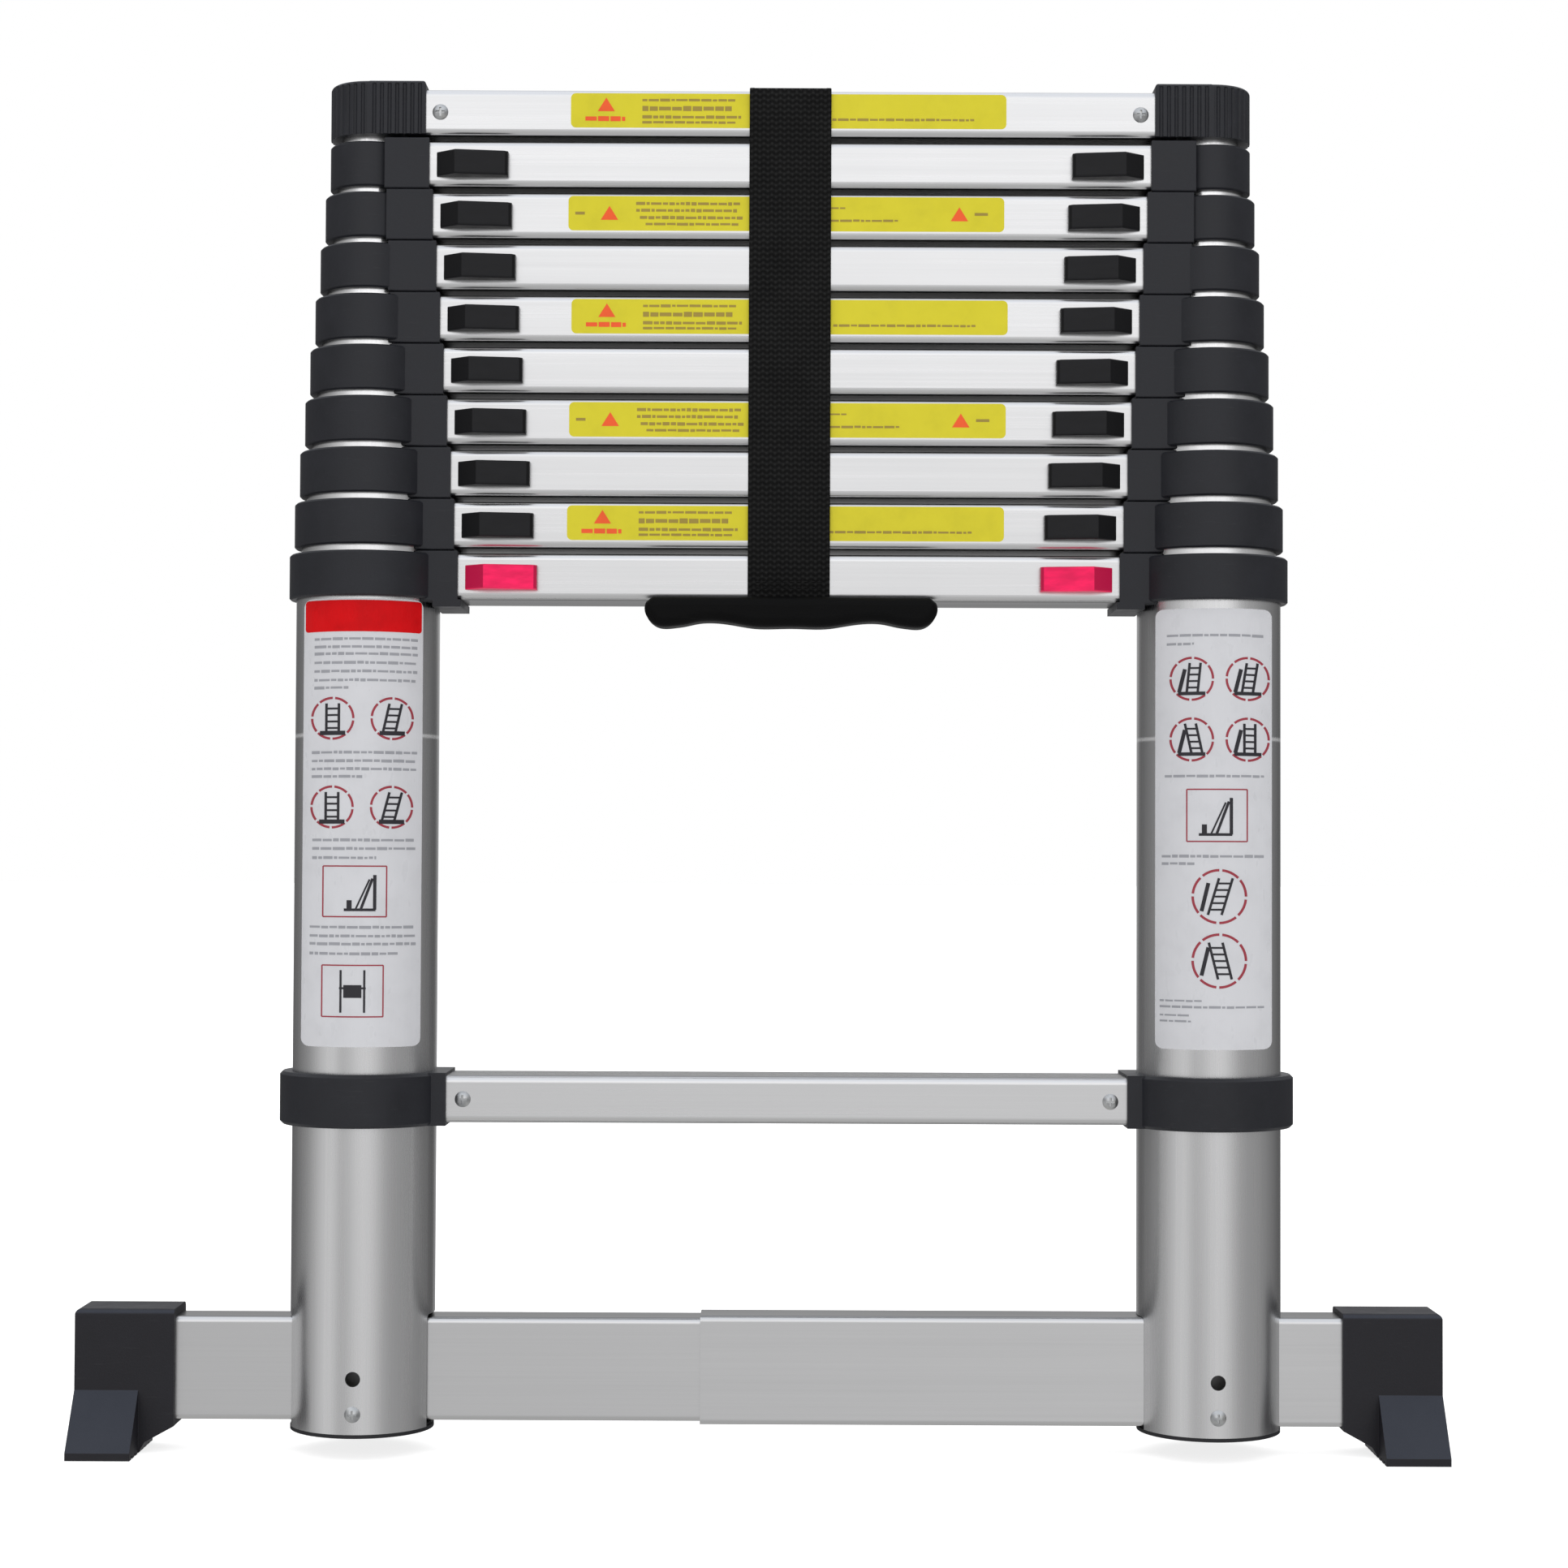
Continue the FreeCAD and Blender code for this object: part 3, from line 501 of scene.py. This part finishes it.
def rounded_panel(x0, x1, height, radius, columns):
    """A rounded rectangle as upright strips."""
    corner = [radius * (1 - math.cos(math.pi / 2 * i / CORNER_STEPS)) for i in range(CORNER_STEPS)]
    inner = [x0 + radius + (x1 - x0 - 2 * radius) * i / columns for i in range(columns + 1)]
    xs = [x0 + c for c in corner] + inner + [x1 - c for c in reversed(corner)]

    def top(x):
        depth = max(0.0, x0 + radius - x, x - (x1 - radius))
        return height / 2 - radius + math.sqrt(max(0.0, radius ** 2 - depth ** 2))

    return [[(a, -top(a)), (b, -top(b)), (b, top(b)), (a, top(a))] for a, b in zip(xs, xs[1:])]


def lowered(shapes, drop):
    return [[(x, y - drop) for x, y in polygon] for polygon in shapes]


def gathered(shape, rows):
    """All the polygons of one kind of shape, drawn once for each row of its values."""
    return [polygon for row in rows for polygon in shape(*row)]


def text_block(x0, x1, depths, seed, last=1.0, height=1.35):
    """Lines of small print at the given depths below the label's top. The last may be short."""
    out = []
    for i, depth in enumerate(depths):
        end = x0 + (x1 - x0) * last if i == len(depths) - 1 else x1
        out += words(x0, end, -depth, height, seed + 13 * i)
    return out


def print_object(name, shapes, place, look):
    """Turns label-space polygons into thin solid film. place(x, y, lift) gives the 3-D point."""
    vertices, faces = [], []
    for polygon in shapes:
        first, count = len(vertices), len(polygon)
        vertices += [place(x, y, lift) for lift in (FILM, 0.0) for x, y in polygon]
        faces.append(tuple(first + i for i in range(count)))
        faces.append(tuple(first + count + i for i in reversed(range(count))))
        for i in range(count):
            j = (i + 1) % count
            faces.append((first + i, first + count + i, first + count + j, first + j))
    return add_object(name, vertices, faces, look, smooth=False)


def flat_place(cx, y, cz, base):
    """Label space on an upright face that looks towards -Y. base is the height above the face."""
    def place(u, v, lift):
        return (cx + u * MM, y - (base + lift) * MM, cz + v * MM)
    return place


def tube_place(cx, cz, radius, base, facing):
    """Label space wrapped round an upright tube, as if printed from the direction facing."""
    def place(u, v, lift):
        angle = math.asin(max(-1.0, min(1.0, u * MM / radius))) + facing
        r = radius + (base + lift) * MM
        return (cx + r * math.sin(angle), -r * math.cos(angle), cz + v * MM)
    return place


# ---------------------------------------------------------------- webbing
# Half of the strap's cross-section: how far in from the edge, and how thick beside the full width.
SELVEDGE = ((0.0, 0.35), (0.4 * MM, 0.95), (2.2 * MM, 1.0), (2.8 * MM, 0.78))
STITCH, STITCH_GAP, THREAD_R = 2.2, 1.1, 0.32       # in mm
STITCH_SWELL = ((0.0, 0.25), (0.25, 0.9), (0.5, 1.0), (0.75, 0.9), (1.0, 0.25))


def webbing(name, path, width, thickness, look, centre_x):
    """A strap of webbing along (y, z) points, its edges rounded by the selvedge."""
    half, t = width / 2, thickness / 2
    profile = [(-half + inset, part * t) for inset, part in SELVEDGE]
    profile += [(half * s / 6, 0.80 * t) for s in range(-5, 6)]
    profile += [(half - inset, part * t) for inset, part in reversed(SELVEDGE)]
    outline = profile + [(x, -h) for x, h in reversed(profile)]
    rings, uvs, run = [], [], 0.0
    for i, (y, z) in enumerate(path):
        before, after = path[max(i - 1, 0)], path[min(i + 1, len(path) - 1)]
        dy, dz = after[0] - before[0], after[1] - before[1]
        length = math.hypot(dy, dz)
        ny, nz = -dz / length, dy / length
        if i:
            run += math.hypot(y - path[i - 1][0], z - path[i - 1][1])
        rings.append([(centre_x + x, y + ny * h, z + nz * h) for x, h in outline])
        uvs += [(x, run) for x, h in outline]
    vertices, faces = loft(rings)
    return add_object(name, vertices, faces, look, uvs=uvs)


def straight(a, b, steps):
    return [(a[0] + (b[0] - a[0]) * i / steps, a[1] + (b[1] - a[1]) * i / steps)
            for i in range(steps + 1)]


def arc(cy, cz, radius, start, end, steps=8):
    angles = [math.radians(start + (end - start) * i / steps) for i in range(steps + 1)]
    return [(cy + radius * math.cos(a), cz + radius * math.sin(a)) for a in angles]


def joined(*parts):
    """One path from parts that each start where the one before ends."""
    return parts[0] + [point for part in parts[1:] for point in part[1:]]


def stitches(name, runs, y, side, look):
    """Short rounded thread stitches along straight runs on a face at y that looks along side."""
    vertices, faces = [], []
    for (x0, z0), (x1, z1) in runs:
        total = math.hypot(x1 - x0, z1 - z0)
        count = max(1, int(total / (STITCH + STITCH_GAP)))
        ux, uz = (x1 - x0) / total, (z1 - z0) / total
        for i in range(count):
            start = (i + 0.5) * total / count - STITCH / 2
            rings = []
            for s, swell in STITCH_SWELL:
                d = start + STITCH * s
                cx, cz = x0 + ux * d, z0 + uz * d
                ring = []
                for a in range(6):
                    angle = 2 * math.pi * a / 6
                    w, h = THREAD_R * swell * math.cos(angle), THREAD_R * swell * math.sin(angle)
                    ring.append(((cx - uz * w) * MM, y + side * h * MM, (cz + ux * w) * MM))
                rings.append(ring)
            part_vertices, part_faces = loft(rings)
            first = len(vertices)
            vertices += part_vertices
            faces += [tuple(first + v for v in face) for face in part_faces]
    return add_object(name, vertices, faces, look)


# ---------------------------------------------------------------- looks of the CAD nodes
def paint(node, look):
    mesh = nodes[node].data
    if not mesh.materials:
        mesh.materials.append(look)
    for i in range(len(mesh.materials)):
        mesh.materials[i] = look


ALUMINIUM = (0.80, 0.80, 0.80)
TUBE_GRAIN, RUNG_GRAIN, BAR_GRAIN = (900, 900, 5), (4, 700, 700), (4, 600, 600)
RING_Z = 0.3755                 # a worn ring round both bottom tubes
# How bright the level faces of rungs and bar are: painted shade.
LEVEL_FACE_SHADE = 0.26
NYLON = (0.0095, 0.0100, 0.0130)
# The second colour is painted light on the feet's upward slopes, where light from above falls.
RUBBER, RUBBER_SLOPE_LIGHT = (0.0075, 0.0072, 0.0100), (0.022, 0.026, 0.038)
RED_SLIDE, BLACK_SLIDE = (0.72, 0.011, 0.088), (0.0075, 0.0075, 0.0085)
SLIDE_LENGTH = 0.0385           # from the slide's inner end to where its pin starts

tube_look = aluminium("tube_satin", (0.94, 0.94, 0.94), TUBE_GRAIN, 0.24, 0.03, depth=0.000006)
lowest_tube_look = aluminium("lowest_tube_satin", ALUMINIUM, TUBE_GRAIN, 0.27, 0.05,
                             depth=0.000016, ring_z=RING_Z)
rung_look = aluminium("rung_satin", ALUMINIUM, RUNG_GRAIN, 0.28, 0.04, level_shade=LEVEL_FACE_SHADE)
low_rung_look = aluminium("low_rung_satin", ALUMINIUM, RUNG_GRAIN, 0.28, 0.05, level_shade=LEVEL_FACE_SHADE)
bar_look = aluminium("bar_satin", shade(ALUMINIUM, 0.90), BAR_GRAIN, 0.30, 0.06, level_shade=LEVEL_FACE_SHADE)
collar_look = moulding("collar_nylon", NYLON, 0.42)
foot_look = moulding("foot_rubber", RUBBER, 0.52, grain_scale=900, grain_depth=0.0001, scuff=0.35,
                     slope_light=RUBBER_SLOPE_LIGHT)
handle_look = moulding("handle_grip", (0.0022, 0.0022, 0.0023), 0.48, grain_scale=1100,
                       grain_depth=0.00012, scuff=0.10, shine=0.07, edge=0.25)
plug_look = moulding("plug_nylon", (0.012, 0.012, 0.014), 0.55)
zinc_look = material("zinc_plate", {"Metallic": 1.0}, zinc)

for k in range(1, SECTIONS + 1):
    paint("stile_tubes_" + number(k), lowest_tube_look if k == 1 else tube_look)
    paint("rung_" + number(k), rung_look)
for k in range(1, SECTIONS):
    paint("collars_" + number(k), collar_look)
    colour, rough = (RED_SLIDE, 0.36) if k == 1 else (BLACK_SLIDE, 0.44)
    left, right = "latch_%s_left" % number(k), "latch_%s_right" % number(k)
    left_pin, right_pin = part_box(left)[1].x - SLIDE_LENGTH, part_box(right)[0].x + SLIDE_LENGTH
    for latch, pin_edge, comparison in ((left, left_pin, "LESS_THAN"),
                                        (right, right_pin, "GREATER_THAN")):
        paint(latch, latch_material("slide_" + latch, colour, rough, pin_edge, comparison))
for look, painted in ((collar_look, ("top_caps", "fixed_rung_collars")),
                      (foot_look, ("foot_left", "foot_right")),
                      (bar_look, ("stabiliser_bar_left", "stabiliser_bar_right")),
                      (zinc_look, ("top_rung_screws", "base_fasteners")),
                      (low_rung_look, ("fixed_rung",)),
                      (handle_look, ("carry_handle",)),
                      (plug_look, ("base_plugs",))):
    for node in painted:
        paint(node, look)

# ---------------------------------------------------------------- carrying strap
THICK = 1.2 * MM
FOLD = 2.4 * MM                 # the strap's bend over the top rung
TAIL_FOLD = FOLD * 0.6          # and under the lowest
OVER_RUNG, PAST_RUNG = 0.2 * MM, 1.0 * MM
STITCH_OUT = 0.68 * MM          # a stitch's distance from the middle of the strap
webbing_look = webbing_material("strap_webbing", (0.0045, 0.0045, 0.0045))
thread_look = moulding("strap_thread", (0.007, 0.007, 0.0072), 0.7, grain_scale=2500,
                       grain_depth=0.00004, scuff=0.0, shine=0.15)


def strap_piece(piece, body, node=None):
    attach(piece, body)
    if node is not None:
        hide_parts(node)


band_lo, band_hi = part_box("strap_band")
front, back = band_lo.y + THICK / 2, band_hi.y - THICK / 2
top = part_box("rung_10")[1].z + OVER_RUNG + THICK / 2
back_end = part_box("rung_01")[0].z + PAST_RUNG
path = joined(straight((front, band_lo.z), (front, top - FOLD), 60),
              arc(front + FOLD, top - FOLD, FOLD, 180, 90),
              straight((front + FOLD, top), (back - FOLD, top), 10),
              arc(back - FOLD, top - FOLD, FOLD, 90, 0),
              straight((back, top - FOLD), (back, back_end), 60))
band = webbing("strap_webbing", path, band_hi.x - band_lo.x, THICK, webbing_look, MIDDLE_X)
strap_piece(band, "section_10", "strap_band")

tail_lo, tail_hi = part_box("strap_tail")
low, outside = tail_lo.z + THICK / 2, tail_hi.y - THICK / 2
path = joined(straight((tail_lo.y, low), (outside - TAIL_FOLD, low), 16),
              arc(outside - TAIL_FOLD, low + TAIL_FOLD, TAIL_FOLD, 270, 360),
              straight((outside, low + TAIL_FOLD), (outside, tail_hi.z), 16))
tail = webbing("strap_tail_webbing", path, tail_hi.x - tail_lo.x, THICK, webbing_look, MIDDLE_X)
strap_piece(tail, "section_01", "strap_tail")

# two rows low on the front of the band, and a crossed box on the tail, in mm
mid, seam_z = MIDDLE_X / MM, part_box("rung_01")[0].z / MM
rows = [((mid - 18, seam_z + h), (mid + 18, seam_z + h)) for h in (7.0, 10.0)]
seam = stitches("strap_seam_front", rows, front - STITCH_OUT, -1, thread_look)
strap_piece(seam, "section_10")
a, b, c, d = [(mid + x, seam_z + z) for x, z in ((-17.5, 8), (17.5, 8), (17.5, 38), (-17.5, 38))]
box_rows = [(a, b), (b, c), (c, d), (d, a), (a, c), (d, b)]
seam = stitches("strap_seam_tail", box_rows, outside + STITCH_OUT, 1, thread_look)
strap_piece(seam, "section_01")

# ---------------------------------------------------------------- yellow rung labels
UNDER, OVER = 0.02, 0.09        # how far a film and the print on it lie above the metal, in mm
yellow_look = film_material("label_yellow", (0.520, 0.460, 0.018), 0.36, 0.07)
orange_look = film_material("label_orange", (0.66, 0.085, 0.020), 0.40)
brown_look = film_material("label_brown", (0.26, 0.19, 0.035), 0.42)

ONE_TRIANGLE = (
    triangle(-96, 3.2, 9.0) + words(-107, -86, -4.4, 2.6, 5),
    gathered(words, [(-77, -27, 5.6, 1.3, 3), (-77, -30, 1.1, 2.3, 17), (-77, -25, -3.4, 1.5, 29),
                     (-77, -28, -6.2, 1.2, 59), (23, 99, -4.4, 1.2, 41)]))
TWO_TRIANGLES = (
    triangle(-93, 0.2, 9.2) + triangle(91, 0.2, 9.2),
    gathered(words, [(-79, -23, 5.2, 1.5, 7), (-79, -26, 1.6, 1.5, 19), (-77, -23, -2.2, 1.5, 31),
                     (-74, -25, -5.6, 1.3, 61), (22, 31, 3.2, 1.0, 2), (22, 59, -3.4, 1.1, 43)])
    + bar(99, 106, 0.2, 1.5) + bar(-111, -106, 0.0, 1.5))
# for each labelled rung: how far the label lies left of the ladder's middle, in mm, and its print
RUNG_LABELS = {10: (1.0, ONE_TRIANGLE), 8: (2.0, TWO_TRIANGLES), 6: (0.1, ONE_TRIANGLE),
               4: (1.0, TWO_TRIANGLES), 2: (1.8, ONE_TRIANGLE)}
LABEL_RISE = 1.2 * MM           # from the middle of the rung

for k, (shift, (marks, lines)) in RUNG_LABELS.items():
    x, z = MIDDLE_X - shift * MM, middle("rung_" + number(k)).z + LABEL_RISE
    for part, shapes, base, look in (
            ("film", rounded_panel(-114.6, 114.6, 18.2, 2.6, 40), UNDER, yellow_look),
            ("marks", marks, OVER, orange_look), ("lines", lines, OVER, brown_look)):
        piece = print_object("rung_label_%s_%s" % (number(k), part), shapes,
                             flat_place(x, RUNG_FACE_Y, z, base), look)
        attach(piece, "section_" + number(k))

# ---------------------------------------------------------------- white labels on the bottom tubes
FACING = math.radians(7.9)      # how far each label is turned towards the ladder's middle
TUBE_LAYERS = {                 # height above the tube in mm, and look, of each layer
    "film": (UNDER, film_material("label_white", (0.487, 0.490, 0.512), 0.32, 0.05)),
    "band": (0.08, film_material("label_red", (0.485, 0.003, 0.005), 0.32, 0.14, 0.10)),
    "rings": (OVER, film_material("label_ring", (0.25, 0.030, 0.045), 0.40)),
    "text": (OVER, film_material("label_text", (0.25, 0.255, 0.275), 0.40)),
    "icons": (0.14, film_material("label_ink", (0.018, 0.017, 0.021), 0.42))}


def tube_label(side, cx, top_z, facing, layers):
    """A printed label on a bottom tube. Its shapes lie below and beside the middle of its top."""
    for part, shapes in layers.items():
        base, look = TUBE_LAYERS[part]
        piece = print_object("tube_label_%s_%s" % (side, part), shapes,
                             tube_place(cx, top_z, TUBE_R, base, facing), look)
        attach(piece, "section_01")


LEFT_TOP, LEFT_HEIGHT = 0.4462, 232.6
RED_BAND_HEIGHT, RED_BAND_DEPTH = 16.4, 9.1
film = lowered(rounded_panel(-33.2, 28.4, LEFT_HEIGHT, 4.0, 44), LEFT_HEIGHT / 2)
red_band = lowered(rounded_panel(-32.4, 27.6, RED_BAND_HEIGHT, 1.6, 40), RED_BAND_DEPTH)
text = gathered(text_block, [
    (-27.6, 25.6, (21.1, 25.2, 28.8, 33.4, 37.9, 42.5, 46.5), 3, 0.33),
    (-28.6, 25.6, (80.0, 84.4, 88.6, 92.6), 23, 0.48),
    (-28.0, 25.0, (125.5, 129.9, 134.7), 37, 0.62),
    (-29.0, 25.6, (170.6, 175.2, 179.3, 184.3), 51, 0.85)])
rings, icons = [], []
for x, depth, lean in ((-18.0, 62.4, 0.0), (12.6, 62.4, 0.22), (-18.0, 108.4, 0.0),
                       (12.6, 108.4, 0.26)):
    rings += annulus(x, -depth, 11.2, 1.2)
    icons += ladder_icon(x, -depth, 15.5, lean, 4, 6.4)
    icons += bar(x - 6.5, x + 6.5, -depth - 7.6, 2.2)
rings += frame_lines(-6.0, -152.1, 32.6, 26.2) + frame_lines(-6.8, -203.6, 31.4, 26.6)
icons += wall_icon(-2.5, -152.6, 18.0) + posts_icon(-6.8, -203.8, 22.0)
tube_label("left", LEFT_X, LEFT_TOP, FACING,
           {"film": film, "band": red_band, "rings": rings, "text": text, "icons": icons})

RIGHT_TOP, RIGHT_HEIGHT = 0.4428, 228.8
film = lowered(rounded_panel(-27.5, 32.8, RIGHT_HEIGHT, 4.0, 44), RIGHT_HEIGHT / 2)
text = gathered(text_block, [
    (-21.5, 28.6, (14.0, 18.4), 5, 0.28),
    (-22.5, 28.6, (87.1,), 61),
    (-24.0, 28.6, (128.7, 132.5), 67, 0.32),
    (-25.0, 28.6, (203.6,), 71, 0.42, 1.0),
    (-25.0, 28.6, (206.8,), 73, 1.0, 1.2),
    (-25.0, 28.6, (211.2,), 79, 0.3, 1.0),
    (-25.0, 28.6, (214.2,), 83, 0.3, 1.0)])
rings, icons = [], []
for x, depth, lean in ((-8.6, 36.6, 0.10), (20.2, 36.6, 0.16), (-8.6, 68.1, -0.22),
                       (20.2, 68.1, 0.0)):
    rings += annulus(x, -depth, 11.5, 1.2)
    icons += ladder_icon(x + 1.0, -depth + 0.5, 15.5, lean, 4, 5.6)
    icons += bar(x - 7.0, x + 7.0, -depth - 7.6, 1.8)
    icons += stroke(x - 6.5, -depth - 7.0, x - 3.5, -depth + 5.0, 2.0, 4)
rings += frame_lines(4.4, -107.5, 31.0, 27.0)
icons += wall_icon(4.6, -107.9, 19.0)
for depth, lean in ((149.5, 0.30), (182.8, -0.25)):
    rings += annulus(5.6, -depth, 14.3, 1.3)
    icons += ladder_icon(6.1, -depth, 19.0, lean, 5, 7.0)
    icons += stroke(-3.5, -depth - 7.6, 0.0, -depth + 7.0, 2.0, 6)
tube_label("right", RIGHT_X, RIGHT_TOP, -FACING,
           {"film": film, "rings": rings, "text": text, "icons": icons})

# ---------------------------------------------------------------- studio
FLOOR_HALF, FLOOR_GLOW = 40, 0.79
floor_look = material("pale_floor", {"Specular IOR Level": 0.1, "Emission Color": (1, 1, 1, 1),
                                     "Emission Strength": FLOOR_GLOW}, pale_floor)
corners = [(FLOOR_HALF * x, FLOOR_HALF * y, 0) for x, y in ((-1, -1), (1, -1), (1, 1), (-1, 1))]
floor = add_object("studio_floor", corners, [(0, 1, 2, 3)], floor_look, smooth=False)
floor.location.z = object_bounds()[0].z
floor.visible_glossy = False

# What the metal mirrors near the horizon and above it: (azimuth in degrees, brightness). 0 is in
# front of the ladder and -90 on its left.
LOW_RING = ((-180, 0.48), (-167, 0.42), (-154, 0.10), (-130, 0.15), (-110, 0.22), (-90, 0.31),
            (-74, 0.48), (-58, 0.68), (-43, 0.66), (-30, 0.40), (-20, 0.44), (-5, 0.60),
            (12, 0.68), (26, 0.54), (40, 0.36), (56, 0.31), (73, 0.31), (92, 0.26), (112, 0.19),
            (134, 0.12), (154, 0.08), (167, 0.42), (180, 0.48))
HIGH_RING = ((-180, 0.72), (-164, 0.62), (-148, 0.12), (-125, 0.15), (-85, 0.30), (-52, 0.50),
             (-28, 1.19), (28, 1.19), (52, 0.50), (85, 0.30), (125, 0.15), (148, 0.12),
             (164, 0.62), (180, 0.72))
CEILING, GROUND, BACKDROP = (0.91, 0.94, 1.00), (0.50, 0.50, 0.50), (1.0, 1.0, 1.0)
SOFT_BACK, SOFT_FRONT = 0.22, 0.47      # the even light on matt surfaces


def studio_world():
    """Soft studio surroundings. The metal mirrors a softbox in front, a strip on the left and a
    smaller softbox behind; matt surfaces get an even light; the backdrop itself is white."""
    world = bpy.data.worlds.new("studio")
    world.use_nodes = True
    n = Nodes(world.node_tree)
    x, y, z = n.split(n.add("ShaderNodeTexCoord").outputs["Generated"])
    turn = n.math("DIVIDE", n.math("ARCTAN2", x, n.times(y, -1.0)), 2 * math.pi)
    turn = n.plus(turn, 0.5)
    low_ring, high_ring = (n.ramp(turn, [(0.5 + a / 360, (g, g, g * 1.01)) for a, g in ring])
                           for ring in (LOW_RING, HIGH_RING))
    mirrored = n.mix(n.remap(z, 0.03, 0.14, 0.0, 1.0), low_ring, high_ring)
    mirrored = n.mix(n.remap(z, 0.32, 0.75, 0.0, 1.0), mirrored, CEILING)
    mirrored = n.mix(n.remap(z, -0.30, -0.65, 0.0, 1.0), mirrored, GROUND)
    soft = n.remap(y, 1.0, -1.0, SOFT_BACK, SOFT_FRONT)

    def background(colour):
        node = n.add("ShaderNodeBackground")
        n.feed(node.inputs["Color"], colour)
        return node.outputs[0]

    def choose(fac, first, second):
        node = n.add("ShaderNodeMixShader")
        for source, socket in zip((fac, first, second), node.inputs):
            n.link(source, socket)
        return node.outputs[0]

    kind = n.add("ShaderNodeLightPath")
    result = choose(kind.outputs["Is Diffuse Ray"], background(mirrored), background(soft))
    result = choose(kind.outputs["Is Camera Ray"], result, background(BACKDROP))
    output = n.add("ShaderNodeOutputWorld")
    n.link(result, output.inputs["Surface"])
    bpy.context.scene.world = world


def add_sun(name, strength, direction, angle):
    """A very soft light that matt surfaces see and the metal doesn't mirror."""
    data = bpy.data.lights.new(name, "SUN")
    data.energy = strength
    data.angle = math.radians(angle)
    made = bpy.data.objects.new(name, data)
    made.rotation_euler = Vector(direction).to_track_quat("Z", "Y").to_euler()
    made.visible_glossy = False
    bpy.context.scene.collection.objects.link(made)


studio_world()
add_sun("key_light", 0.74, (0.0, -1.0, 0.5), 40)
add_sun("top_light", 2.3, (0.0, 0.0, 1.0), 100)

# ---------------------------------------------------------------- camera
CAMERA_HEIGHT, CAMERA_DISTANCE, CAMERA_LEFT = 0.310, 1.6, 0.002
AIM_Z = 0.3516
SENSOR, LENS = 36.0, 69.3       # in mm
ROLL = math.radians(0.24)
camera_data = bpy.data.cameras.new("camera")
camera_data.sensor_width = SENSOR
camera_data.lens = LENS
camera = bpy.data.objects.new("camera", camera_data)
camera.location = (MIDDLE_X - CAMERA_LEFT, -CAMERA_DISTANCE, CAMERA_HEIGHT)
tilt = math.atan((AIM_Z - CAMERA_HEIGHT) / CAMERA_DISTANCE)
camera.rotation_euler = Euler((math.pi / 2 + tilt, 0, 0))
camera.rotation_euler.rotate_axis("Z", ROLL)
bpy.context.scene.collection.objects.link(camera)
bpy.context.scene.camera = camera
bpy.context.scene.view_settings.view_transform = "Standard"
